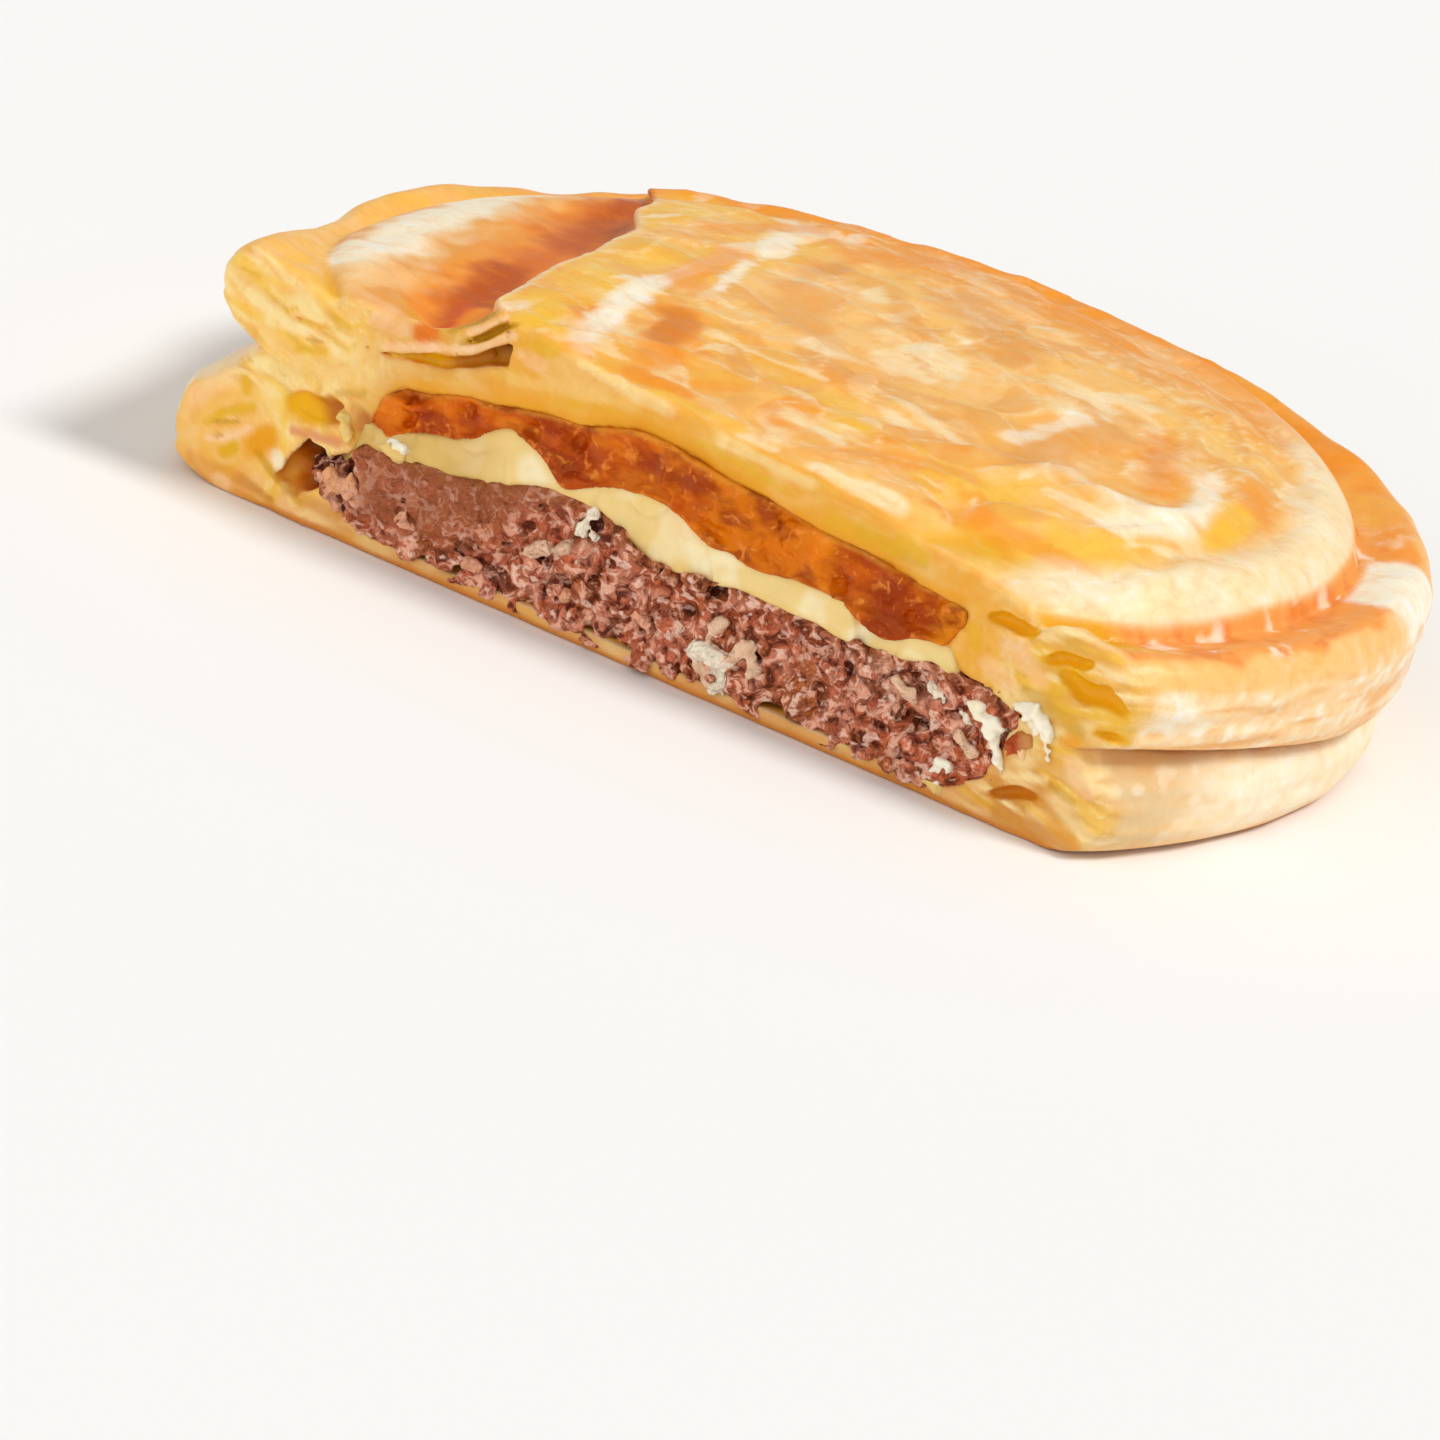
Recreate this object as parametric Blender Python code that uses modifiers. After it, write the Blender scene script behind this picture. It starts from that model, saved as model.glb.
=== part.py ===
"""Cheeseburger pie with a slice cut off its front, so that the filling shows.

Two round pastry sheets are sealed at a rolled flange. Between them, from the bottom up, lie a thick beef
patty, a melted cheese slice and a layer of relish, and each runs right through the pie. The base rests on
Z = 0, the middle of the round pie is on the Z axis, and the cut face looks along -Y.
"""

import math

import bmesh
import bpy
from mathutils import Vector, noise

MM = 0.001                    # the dimensions below are in millimetres

# The round pie
FLANGE_RADIUS = 62.5
FLANGE_HEIGHT = 20.8          # crest of the rolled flange
GROOVE_RADIUS = 55.2          # middle of the groove between the lid's plateau and the flange
GROOVE_HEIGHT = 19.6
PLATEAU_RADIUS = 53.3
RIM_HEIGHT = 22.0             # the plateau's edge
DOME_HEIGHT = 27.4            # the plateau's middle
DOME_POWER = 3.5              # how flat the dome is before it falls to the rim
SEAM_HEIGHT = 11.0            # where the two sheets are pinched together
SEAM_RADIUS = 59.0
BASE_RADIUS = 60.5            # fullest part of the base's side
BASE_FOOT_RADIUS = 58.0       # edge of the flat underside
BASE_THICKNESS = 1.6

# The cut
CUT_OFFSET = 36.4             # the cut plane lies this far in front of the middle
CUT_FADE = 11.0               # behind the cut the layers settle to level over this depth
LEFT_END = -144.0             # azimuths of the cut's two ends, in degrees
RIGHT_END = -37.0
SWELL_WIDTH = 22.0            # how far round the pie the swollen left end reaches, in degrees
SWELL_RISE = 4.6              # the flange and the seam rise by this at the left end
SWELL_BULGE = 4.4             # the base bulges by this there
WAIST_DEPTH = 2.4             # and the seam draws in by this there
SEAM_DROP = 3.4               # on the right the seam lies lower by this
SEAM_DROP_ANGLE = 10.0
SEAM_DROP_WIDTH = 28.0
PINCH_ANGLE = -167.0          # beside the swollen end the flange is pinched narrower
PINCH_DEPTH = 4.6
PINCH_WIDTH = 18.0
RIGHT_BULGE = 1.6             # the base bulges by this at the cut's right end
CORNER_BULGE = 2.4            # the flange's corner at the left end
CORNER_WIDTH = 7.0
DIP_ANGLE = 148.0             # left of the fold's far end the flange lies lower
DIP_DEPTH = 1.3
DIP_WIDTH = 10.0
LAYER_PITCH = 2.1             # spacing of the pastry's baked layers at the cut
LAYER_DEPTH = 0.8

# The filling
FILLING_SHIFT = 1.8           # the filling lies this far to the right of the middle
PATTY_RADIUS = 52.8
PATTY_BOTTOM = BASE_THICKNESS + 0.4
CHEESE_RADIUS = 48.8
RELISH_RADIUS = 49.8
GAP = 0.4                     # between pieces that touch
WALL_RADIUS = PATTY_RADIUS + GAP
LEVEL_PATTY_TOP = 12.4        # heights inside, away from the cut
LEVEL_CHEESE_TOP = 15.4
LEVEL_RELISH_TOP = 20.0

# Heights of the layers along the cut, from left to right
PATTY_TOP_AT_CUT = (
    (-36, 7.2), (-32, 11.0), (-24, 11.4), (-9, 14.6), (1, 11.4), (14, 12.6), (22, 11.8), (34, 13.2),
)
CHEESE_TOP_AT_CUT = (
    (-32, 12.8), (-24, 14.8), (-17, 18.2), (-9, 16.2), (-1, 17.6), (9, 15.5), (18, 15.4), (32, 15.2),
)
RELISH_TOP_AT_CUT = (
    (-34, 14.8), (-29, 17.8), (-22, 19.6), (-12, 21.2), (-3, 23.2), (8, 21.9), (17, 20.8), (34, 19.2),
)

# The fold across the left of the lid, as points x, y, and the lifted lip on its right
FOLD_LINE = ((-38.6, -24.5), (-12.0, -26.8), (4.0, -28.8), (17.0, -34.0), (41.0, -45.0))
LIP_LIFT = 2.6                # the lip's rise above the dome at the cut
LIP_REACH = 13.0
FOLD_COSINE = 0.93            # the fold runs askew, so a step across it is this share of the step along X
FRONT_REACH = 26.0            # the lip's height fades over this distance behind the cut
PANEL_DROP = 2.6              # the sunken panel left of the fold lies this far below the dome
PANEL_RIM = 46.5              # left of the panel the rim rises again, from this radius on
PANEL_BACK = 27.0             # the panel ends this far behind the middle
RIM_RISE = 2.6                # the plateau's rim rises by this at the swollen left end
SWELL_RIM = 44.0              # from this radius on
RIM_ROLL = (50.6, 1.8, 0.5)   # the plateau's rolled rim: its radius, width and height
SAG = (36.0, 11.0, 2.4)       # dip of the lid at the cut's right: its x, reach and depth

# Openings between baked layers at the cut: x, z, half length, half height, tilt in degrees
OPENINGS = (
    (-26.4, 23.0, 7.6, 0.7, 23), (-22.6, 26.4, 4.0, 0.5, 38), (-41.0, 19.4, 4.0, 0.5, -14),
    (37.0, 19.8, 2.7, 0.6, 0), (43.8, 18.6, 2.9, 0.8, 3), (46.5, 16.1, 4.0, 1.3, 0),
    (41.8, 3.9, 2.5, 0.7, 0), (-48.6, 6.4, 2.2, 0.5, 30),
)
OPENING_DEPTH = 3.0
HOLLOW = (-38.2, 8.8, 3.2, 6.6, 7.0)    # beside the patty's left end: x, z, half width, half height, depth

TURN_STEPS = 90
DISSOLVE_ANGLE = math.radians(0.6)


def clear_scene():
    for obj in list(bpy.data.objects):
        bpy.data.objects.remove(obj, do_unlink=True)


def new_collection(name):
    collection = bpy.data.collections.new(name)
    bpy.context.scene.collection.children.link(collection)
    return collection


def material(name, color, roughness):
    mat = bpy.data.materials.new(name)
    mat.use_nodes = True
    shader = mat.node_tree.nodes["Principled BSDF"]
    shader.inputs["Base Color"].default_value = (*color, 1.0)
    shader.inputs["Roughness"].default_value = roughness
    shader.inputs["Metallic"].default_value = 0.0
    return mat


# ---- rules that the shapes share -------------------------------------------------------------------------

def smooth(value, low, high):
    """0 below low, 1 above high, and a smooth step between."""
    share = min(max((value - low) / (high - low), 0.0), 1.0)
    return share * share * (3.0 - 2.0 * share)


def along(points, position):
    """Height at a position on a smooth line through a few points."""
    if position <= points[0][0]:
        return points[0][1]
    for (start, low), (end, high) in zip(points, points[1:]):
        if position <= end:
            return low + (high - low) * smooth(position, start, end)
    return points[-1][1]


def near_angle(x, y, centre, width):
    """1 at the azimuth called centre, fading to 0 on both sides over width degrees."""
    turn = (math.degrees(math.atan2(y, x)) - centre + 180.0) % 360.0 - 180.0
    return math.exp(-(turn / width) ** 2)


def grain(x, y, z, size):
    """Smooth noise from -1 to 1, whose lumps measure about the given size in millimetres."""
    return noise.noise(Vector((x, y, z)) / size)


def swell(x, y):
    return near_angle(x, y, LEFT_END, SWELL_WIDTH)


def seam_drop(x, y):
    """How far the seam and the flange's underside hang down on the right."""
    return SEAM_DROP * near_angle(x, y, SEAM_DROP_ANGLE, SEAM_DROP_WIDTH)


def waist_depth(x, y):
    """How far the seam draws in."""
    return WAIST_DEPTH * swell(x, y) + 0.8 * PINCH_DEPTH * near_angle(x, y, PINCH_ANGLE, PINCH_WIDTH)


def behind_cut(y):
    """1 at the cut plane, 0 from CUT_FADE behind it."""
    return 1.0 - smooth(y, -CUT_OFFSET + 1.0, -CUT_OFFSET + CUT_FADE)


def layer_top(level, cut_points, x, y):
    """Top of a filling layer: the wavy line seen at the cut, settling to a level inside."""
    share = behind_cut(y)
    return level * (1.0 - share) + along(cut_points, x) * share


def patty_top(x, y):
    return layer_top(LEVEL_PATTY_TOP, PATTY_TOP_AT_CUT, x, y)


def cheese_top(x, y):
    return layer_top(LEVEL_CHEESE_TOP, CHEESE_TOP_AT_CUT, x, y)


def relish_top(x, y):
    edge = smooth(math.hypot(x - FILLING_SHIFT, y), RELISH_RADIUS - 7.0, RELISH_RADIUS + 2.0)
    return layer_top(LEVEL_RELISH_TOP - 2.4 * edge, RELISH_TOP_AT_CUT, x, y)


def fold_side(x, y):
    """Distance to the right of the fold line, negative on its left."""
    return (x - along(FOLD_LINE, y)) * FOLD_COSINE


def dome_height(x, y):
    """Top of the lid inside its rim, before the fold: a flat dome that rises at the swollen left end."""
    radius = math.hypot(x, y)
    fall = (DOME_HEIGHT - RIM_HEIGHT) * (radius / PLATEAU_RADIUS) ** DOME_POWER
    return DOME_HEIGHT - fall + RIM_RISE * swell(x, y) * smooth(radius, SWELL_RIM, PLATEAU_RADIUS)


def plateau_height(x, y):
    """Top of the lid inside its rim, with the lip that the fold lifts."""
    radius = math.hypot(x, y)
    inside = 1.0 - smooth(radius, PLATEAU_RADIUS - 6.0, PLATEAU_RADIUS)
    to_front = math.exp(-((y + CUT_OFFSET) / FRONT_REACH) ** 2)
    lip = LIP_LIFT * (0.25 + 0.75 * to_front) * math.exp(-(max(fold_side(x, y), 0.0) / LIP_REACH) ** 2)
    sag_x, sag_reach, sag_depth = SAG
    sag = sag_depth * math.exp(-((x - sag_x) ** 2 + (y + CUT_OFFSET) ** 2) / sag_reach ** 2)
    flakes = 0.45 * grain(x * 0.6 + y * 0.4, y * 1.3, 3.0, 7.0) + 0.25 * grain(x, y, 9.0, 3.6)
    roll_radius, roll_width, roll_height = RIM_ROLL
    roll = roll_height * math.exp(-((radius - roll_radius) / roll_width) ** 2)
    return dome_height(x, y) + lip * max(inside, 0.3) + flakes * inside - sag + roll


def panel_height(x, y):
    """Floor of the sunken panel on the left of the fold."""
    flat = 1.0 - smooth(math.hypot(x, y), PANEL_RIM - 4.0, PANEL_RIM + 2.0)
    valley = math.exp(-((fold_side(x, y) + 4.5) / 8.0) ** 2)
    front = 1.0 - smooth(y, -CUT_OFFSET, -CUT_OFFSET + 16.0)
    drop = PANEL_DROP * (1.0 - 0.6 * smooth(y, 2.0, PANEL_BACK))
    return dome_height(x, y) - 0.4 - flat * (drop * valley + 0.9 * front)


# ---- modelling helpers -----------------------------------------------------------------------------------

def link_mesh(name, mesh, collection):
    obj = bpy.data.objects.new(name, mesh)
    collection.objects.link(obj)
    return obj


def keep_result(obj):
    """Replaces an object's mesh by what its modifiers make of it."""
    graph = bpy.context.evaluated_depsgraph_get()
    result = bpy.data.meshes.new_from_object(obj.evaluated_get(graph))
    obj.modifiers.clear()
    obj.data = result


def turned(name, profile, collection):
    """A solid turned about the Z axis from points radius, height, listed down its outside and back inside."""
    mesh = bpy.data.meshes.new(name)
    vertices = [(radius, 0.0, height) for radius, height in profile]
    edges = [(index, index + 1) for index in range(len(profile) - 1)]
    mesh.from_pydata(vertices, edges, [])
    obj = link_mesh(name, mesh, collection)
    screw = obj.modifiers.new("turn", "SCREW")
    screw.steps = TURN_STEPS
    screw.render_steps = TURN_STEPS
    screw.use_merge_vertices = True
    screw.merge_threshold = 0.00001
    bpy.context.view_layer.update()
    keep_result(obj)
    return obj


def reshape(obj, rule):
    """Moves every vertex to where the rule puts it."""
    for vertex in obj.data.vertices:
        vertex.co = rule(*vertex.co)


def subtract(obj, cutters):
    for tool in cutters:
        boolean = obj.modifiers.new("cut", "BOOLEAN")
        boolean.operation = "DIFFERENCE"
        boolean.solver = "EXACT"
        boolean.object = tool
    bpy.context.view_layer.update()
    keep_result(obj)


def block_cutter(name, body, axis, level, collection):
    """Extrudes a shaped grid to a level along an axis, which makes a closed block to cut with."""
    extruded = bmesh.ops.extrude_face_region(body, geom=list(body.faces))
    for item in extruded["geom"]:
        if isinstance(item, bmesh.types.BMVert):
            item.co[axis] = level
    bmesh.ops.recalc_face_normals(body, faces=list(body.faces))
    if body.calc_volume(signed=True) < 0.0:
        bmesh.ops.reverse_faces(body, faces=list(body.faces))
    return cutting_object(name, body, collection)


def cutting_object(name, body, collection):
    mesh = bpy.data.meshes.new(name)
    body.to_mesh(mesh)
    body.free()
    obj = link_mesh(name, mesh, collection)
    obj.hide_render = True
    obj.display_type = "WIRE"
    return obj


def front_cutter(name, low, high, step, relief, collection):
    """A block in front of the pie whose back face, the one that cuts, stands in relief."""
    columns = round((high[0] - low[0]) / step[0])
    rows = round((high[1] - low[1]) / step[1])
    body = bmesh.new()
    bmesh.ops.create_grid(body, x_segments=columns, y_segments=rows, size=0.5)
    for vertex in body.verts:
        x = low[0] + (vertex.co.x + 0.5) * (high[0] - low[0])
        z = low[1] + (vertex.co.y + 0.5) * (high[1] - low[1])
        vertex.co = (x, -CUT_OFFSET + relief(x, z), z)
    return block_cutter(name, body, 1, -2.0 * CUT_OFFSET, collection)


def ball_cutter(name, centre, half_sizes, tilt, collection):
    """A stretched ball, tilted in the plane of the cut."""
    body = bmesh.new()
    bmesh.ops.create_icosphere(body, subdivisions=1, radius=1.0)
    slope = math.radians(tilt)
    for vertex in body.verts:
        along_x = vertex.co.x * half_sizes[0]
        across = vertex.co.z * half_sizes[2]
        x = centre[0] + along_x * math.cos(slope) - across * math.sin(slope)
        z = centre[2] + along_x * math.sin(slope) + across * math.cos(slope)
        vertex.co = (x, centre[1] + vertex.co.y * half_sizes[1], z)
    return cutting_object(name, body, collection)


def finish(obj, mat):
    """Joins flat facets, scales from millimetres to metres and gives the piece its material."""
    body = bmesh.new()
    body.from_mesh(obj.data)
    bmesh.ops.remove_doubles(body, verts=list(body.verts), dist=0.002)
    bmesh.ops.dissolve_limit(body, angle_limit=DISSOLVE_ANGLE, verts=list(body.verts), edges=list(body.edges))
    bmesh.ops.triangulate(body, faces=list(body.faces))
    bmesh.ops.dissolve_degenerate(body, edges=list(body.edges), dist=0.002)
    bmesh.ops.triangulate(body, faces=list(body.faces))
    bmesh.ops.scale(body, vec=(MM, MM, MM), verts=list(body.verts))
    body.to_mesh(obj.data)
    body.free()
    obj.data.materials.clear()
    obj.data.materials.append(mat)
    obj.data.shade_smooth()
    obj.data.set_sharp_from_angle(angle=math.radians(50))


# ---- the pastry ------------------------------------------------------------------------------------------

def wall_rings():
    """Radii of the hidden surfaces' rings: close together where the cut passes."""
    return (0.0, 20.0, 32.0, 36.5, 40.0, 43.5, 46.5)


def lid_profile():
    plateau_rings = (0.0, 8.0, 15.0, 21.0, 26.5, 31.0, 35.0, 38.5, 42.0, 45.0, 47.8, 50.2, 52.0)
    points = [(radius, DOME_HEIGHT) for radius in plateau_rings]
    points += [(PLATEAU_RADIUS, RIM_HEIGHT - 0.7), (54.2, GROOVE_HEIGHT + 0.4)]
    points += [(GROOVE_RADIUS, GROOVE_HEIGHT)]
    points += [(57.2, FLANGE_HEIGHT - 0.4), (59.4, FLANGE_HEIGHT), (61.4, FLANGE_HEIGHT - 1.2)]
    points += [(FLANGE_RADIUS, 17.6), (62.3, 15.6), (61.9, 14.2), (61.6, 12.9), (61.0, 11.8)]
    points += [(SEAM_RADIUS, SEAM_HEIGHT + GAP / 2), (WALL_RADIUS + 0.6, SEAM_HEIGHT + GAP / 2)]
    points += [(WALL_RADIUS - 0.6, 14.0), (51.4, 16.0)]
    points += [(radius, LEVEL_RELISH_TOP + GAP) for radius in (RELISH_RADIUS, *reversed(wall_rings()))]
    return points


def flange_move(x, y, z, share):
    """Unevenness of the sealed edge: the swollen left end and a rolled crust's waves."""
    radius = math.hypot(x, y)
    wave = 0.55 * grain(x, y, 0.0, 9.0) + 0.3 * grain(x, y, 20.0, 4.5)
    bulge = wave + CORNER_BULGE * near_angle(x, y, LEFT_END, CORNER_WIDTH)
    bulge -= PINCH_DEPTH * near_angle(x, y, PINCH_ANGLE, PINCH_WIDTH)
    stretch = 1.0 + share * bulge / radius
    rise = 0.7 * grain(x, y, 40.0, 8.0) - DIP_DEPTH * near_angle(x, y, DIP_ANGLE, DIP_WIDTH)
    return x * stretch, y * stretch, z + share * rise


def lid_rule(x, y, z):
    radius = math.hypot(x, y)
    if radius < WALL_RADIUS + 0.7 and z < LEVEL_RELISH_TOP + 1.0:
        x += FILLING_SHIFT
        share = max(z - SEAM_HEIGHT - GAP, 0.0) / (LEVEL_RELISH_TOP - SEAM_HEIGHT)
        ceiling = relish_top(x, y) + GAP
        return x, y, z if share == 0.0 else SEAM_HEIGHT + GAP + share * (ceiling - SEAM_HEIGHT - GAP)
    if radius < PLATEAU_RADIUS - 0.5:
        return x, y, plateau_height(x, y)
    outer = smooth(radius, PLATEAU_RADIUS, FLANGE_RADIUS - 3.0)
    low = 1.0 - smooth(z, SEAM_HEIGHT + 0.5, 15.0)
    waist = 1.0 - waist_depth(x, y) * outer * low / radius
    drop = seam_drop(x, y) * outer * (1.0 - smooth(z, SEAM_HEIGHT + 0.5, FLANGE_HEIGHT - 2.0))
    x, y, z = flange_move(x, y, z, outer * (1.0 - low))
    return x * waist, y * waist, z + SWELL_RISE * swell(x, y) - drop


def layered(x, z):
    """Relief of baked layers across a cut: ridges that follow the crust's bend."""
    bend = 0.06 * abs(x) + 0.7 * grain(x, 0.0, z, 12.0)
    ridge = math.sin(2.0 * math.pi * (z + bend) / LAYER_PITCH)
    return 0.5 * LAYER_DEPTH * ridge + 0.5 * grain(x, 5.0, z, 5.0)


def panel_cutter(collection):
    """Cuts the sunken panel: a block whose right side follows the fold and whose underside is the floor."""
    columns, rows = 9, 26
    front, back = -CUT_OFFSET - 4.0, PANEL_BACK
    body = bmesh.new()
    bmesh.ops.create_grid(body, x_segments=columns, y_segments=rows, size=0.5)
    for vertex in body.verts:
        y = front + (vertex.co.y + 0.5) * (back - front)
        right = along(FOLD_LINE, y) + 0.5 * grain(0.0, y, 2.0, 4.0)
        left = 1.2 - math.sqrt(PLATEAU_RADIUS ** 2 - y ** 2)
        x = left + (vertex.co.x + 0.5) * (right - left)
        vertex.co = (x, y, panel_height(x, y))
    return block_cutter("panel_cutter", body, 2, DOME_HEIGHT + 12.0, collection)


def opening_cutters(low, high, collection):
    """The openings whose middle lies between two heights."""
    cutters = []
    for number, (x, z, half_length, half_height, tilt) in enumerate(OPENINGS):
        if low <= z < high:
            sizes = (half_length, OPENING_DEPTH, half_height)
            name = "opening_{}_cutter".format(number)
            cutters.append(ball_cutter(name, (x, -CUT_OFFSET, z), sizes, tilt, collection))
    return cutters


def hollow_cutter(name, collection):
    x, z, half_width, half_height, depth = HOLLOW
    return ball_cutter(name, (x, -CUT_OFFSET, z), (half_width, depth, half_height), 8.0, collection)


def make_lid(parts, cutters, mat):
    lid = turned("lid_crust", lid_profile(), parts)
    reshape(lid, lid_rule)
    face = front_cutter("lid_face_cutter", (-72.0, 4.0), (72.0, 40.0), (3.2, 0.75), layered, cutters)
    hollow = hollow_cutter("lid_hollow_cutter", cutters)
    subtract(lid, [panel_cutter(cutters), face, hollow, *opening_cutters(SEAM_HEIGHT, 40.0, cutters)])
    finish(lid, mat)


def base_profile():
    points = [(WALL_RADIUS + 0.6, SEAM_HEIGHT - GAP / 2), (SEAM_RADIUS, SEAM_HEIGHT - GAP / 2)]
    points += [(BASE_RADIUS - 0.4, 9.2), (BASE_RADIUS, 6.6), (BASE_RADIUS - 0.1, 3.8)]
    points += [(BASE_RADIUS - 0.7, 1.4), (BASE_FOOT_RADIUS, 0.0), (0.0, 0.0)]
    inside = [(radius, BASE_THICKNESS) for radius in (0.0, 48.4)]
    inside += [(51.0, 2.4), (52.6, 4.4), (WALL_RADIUS + 0.1, 7.4)]
    return inside + points


def base_rule(x, y, z):
    radius = math.hypot(x, y)
    if radius < WALL_RADIUS + 0.7:
        return x + FILLING_SHIFT, y, z
    bulge = smooth(radius, WALL_RADIUS, BASE_FOOT_RADIUS)
    side = smooth(z, -2.0, 1.5) * (1.0 - smooth(z, 5.0, SEAM_HEIGHT))
    drawn_in = waist_depth(x, y) * smooth(z, 4.0, SEAM_HEIGHT) * smooth(radius, PLATEAU_RADIUS, SEAM_RADIUS)
    wave = 0.45 * grain(x, y, 60.0, 10.0) * smooth(z, 0.0, 2.0)
    push = SWELL_BULGE * swell(x, y) + RIGHT_BULGE * near_angle(x, y, RIGHT_END, 14.0)
    stretch = 1.0 + (bulge * side * (push + wave) - drawn_in) / radius
    rise = SWELL_RISE * swell(x, y) - seam_drop(x, y) * bulge
    return x * stretch, y * stretch, z * (1.0 + rise / SEAM_HEIGHT)


def make_base(parts, cutters, mat):
    base = turned("base_crust", base_profile(), parts)
    reshape(base, base_rule)
    face = front_cutter("base_face_cutter", (-72.0, -4.0), (72.0, 24.0), (2.6, 0.7), layered, cutters)
    hollow = hollow_cutter("base_hollow_cutter", cutters)
    subtract(base, [face, hollow, *opening_cutters(0.0, SEAM_HEIGHT, cutters)])
    finish(base, mat)


# ---- the filling -----------------------------------------------------------------------------------------

def crumbs(x, z):
    """Relief of coarse minced beef; the face is smoother towards its upper left."""
    rough = 0.35 + 0.65 * smooth(x - 1.2 * z, -34.0, -14.0)
    return -0.3 + rough * (1.2 * grain(x, 30.0, z, 2.6) + 0.7 * grain(x, 50.0, z, 5.5))


def drips(x, z):
    return -0.4 + 0.9 * grain(x, 70.0, z, 6.0)


def lumps(x, z):
    return -0.6 + 1.3 * grain(x, 90.0, z, 3.6)


def patty_rule(x, y, z):
    radius = math.hypot(x, y)
    edge = smooth(radius, PATTY_RADIUS - 3.0, PATTY_RADIUS - 1.0)
    ragged = 1.0 + 0.012 * (grain(x, y, 10.0, 8.0) - 1.0) * edge
    x = x * ragged + FILLING_SHIFT
    y *= ragged
    round_over = 1.4 * smooth(radius, PATTY_RADIUS - 5.0, PATTY_RADIUS)
    share = (z - PATTY_BOTTOM) / (LEVEL_PATTY_TOP - PATTY_BOTTOM)
    return x, y, PATTY_BOTTOM + share * (patty_top(x, y) - round_over - PATTY_BOTTOM)


def make_patty(parts, cutters, mat):
    rings = (*wall_rings(), 49.2)
    profile = [(radius, LEVEL_PATTY_TOP) for radius in rings]
    profile += [(51.6, LEVEL_PATTY_TOP - 0.8), (PATTY_RADIUS - 0.3, 9.4), (PATTY_RADIUS - 0.5, 7.0)]
    profile += [(PATTY_RADIUS - 1.6, 4.2), (50.0, 2.8), (47.6, PATTY_BOTTOM), (0.0, PATTY_BOTTOM)]
    patty = turned("beef_patty", profile, parts)
    reshape(patty, patty_rule)
    face = front_cutter("patty_face_cutter", (-60.0, -3.0), (60.0, 20.0), (2.1, 1.9), crumbs, cutters)
    subtract(patty, [face])
    finish(patty, mat)


def cheese_rule(x, y, z):
    x += FILLING_SHIFT
    if z > LEVEL_CHEESE_TOP - 1.0:
        return x, y, cheese_top(x, y)
    return x, y, patty_top(x, y) + GAP


def make_cheese(parts, cutters, mat):
    profile = [(radius, LEVEL_CHEESE_TOP) for radius in wall_rings()]
    profile += [(CHEESE_RADIUS - 0.4, LEVEL_CHEESE_TOP), (CHEESE_RADIUS - 0.4, LEVEL_PATTY_TOP + GAP)]
    profile += [(radius, LEVEL_PATTY_TOP + GAP) for radius in reversed(wall_rings())]
    cheese = turned("cheese_slice", profile, parts)
    reshape(cheese, cheese_rule)
    face = front_cutter("cheese_face_cutter", (-60.0, 0.0), (60.0, 30.0), (3.0, 2.4), drips, cutters)
    subtract(cheese, [face])
    finish(cheese, mat)


def relish_rule(x, y, z):
    x += FILLING_SHIFT
    if z > LEVEL_RELISH_TOP - 1.0:
        return x, y, relish_top(x, y)
    return x, y, cheese_top(x, y) + GAP


def make_relish(parts, cutters, mat):
    rings = wall_rings()
    profile = [(radius, LEVEL_RELISH_TOP) for radius in (*rings, RELISH_RADIUS)]
    profile += [(RELISH_RADIUS, LEVEL_CHEESE_TOP + GAP)]
    profile += [(radius, LEVEL_CHEESE_TOP + GAP) for radius in reversed(rings)]
    relish = turned("relish", profile, parts)
    reshape(relish, relish_rule)
    face = front_cutter("relish_face_cutter", (-60.0, 0.0), (60.0, 34.0), (2.2, 1.8), lumps, cutters)
    subtract(relish, [face])
    finish(relish, mat)


def main():
    clear_scene()
    parts = new_collection("cheeseburger_pie")
    cutters = new_collection("cutters")
    pastry_lid = material("baked pastry", (0.86, 0.55, 0.21), 0.45)
    pastry_base = material("pale pastry", (0.90, 0.70, 0.40), 0.60)
    beef = material("cooked beef", (0.32, 0.13, 0.08), 0.70)
    cheese = material("melted cheese", (0.88, 0.74, 0.36), 0.35)
    relish = material("tomato relish", (0.58, 0.13, 0.01), 0.25)
    make_lid(parts, cutters, pastry_lid)
    make_base(parts, cutters, pastry_base)
    make_patty(parts, cutters, beef)
    make_cheese(parts, cutters, cheese)
    make_relish(parts, cutters, relish)
    for obj in list(cutters.objects):
        bpy.data.objects.remove(obj, do_unlink=True)


main()
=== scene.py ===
"""Cheeseburger pie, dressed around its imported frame.

Each CAD node is replaced by a finer piece of the same form. The forms come from the same named dimensions
as the part's source, in millimetres: the middle of the round pie is on the Z axis, its base rests on Z = 0,
and the cut face looks along -Y. A piece is the skin of a solid that is given as a field: negative inside,
positive outside, and about the distance to its surface.
"""
import math

import bpy
import numpy as np
from mathutils import Matrix, Vector, noise


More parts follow.
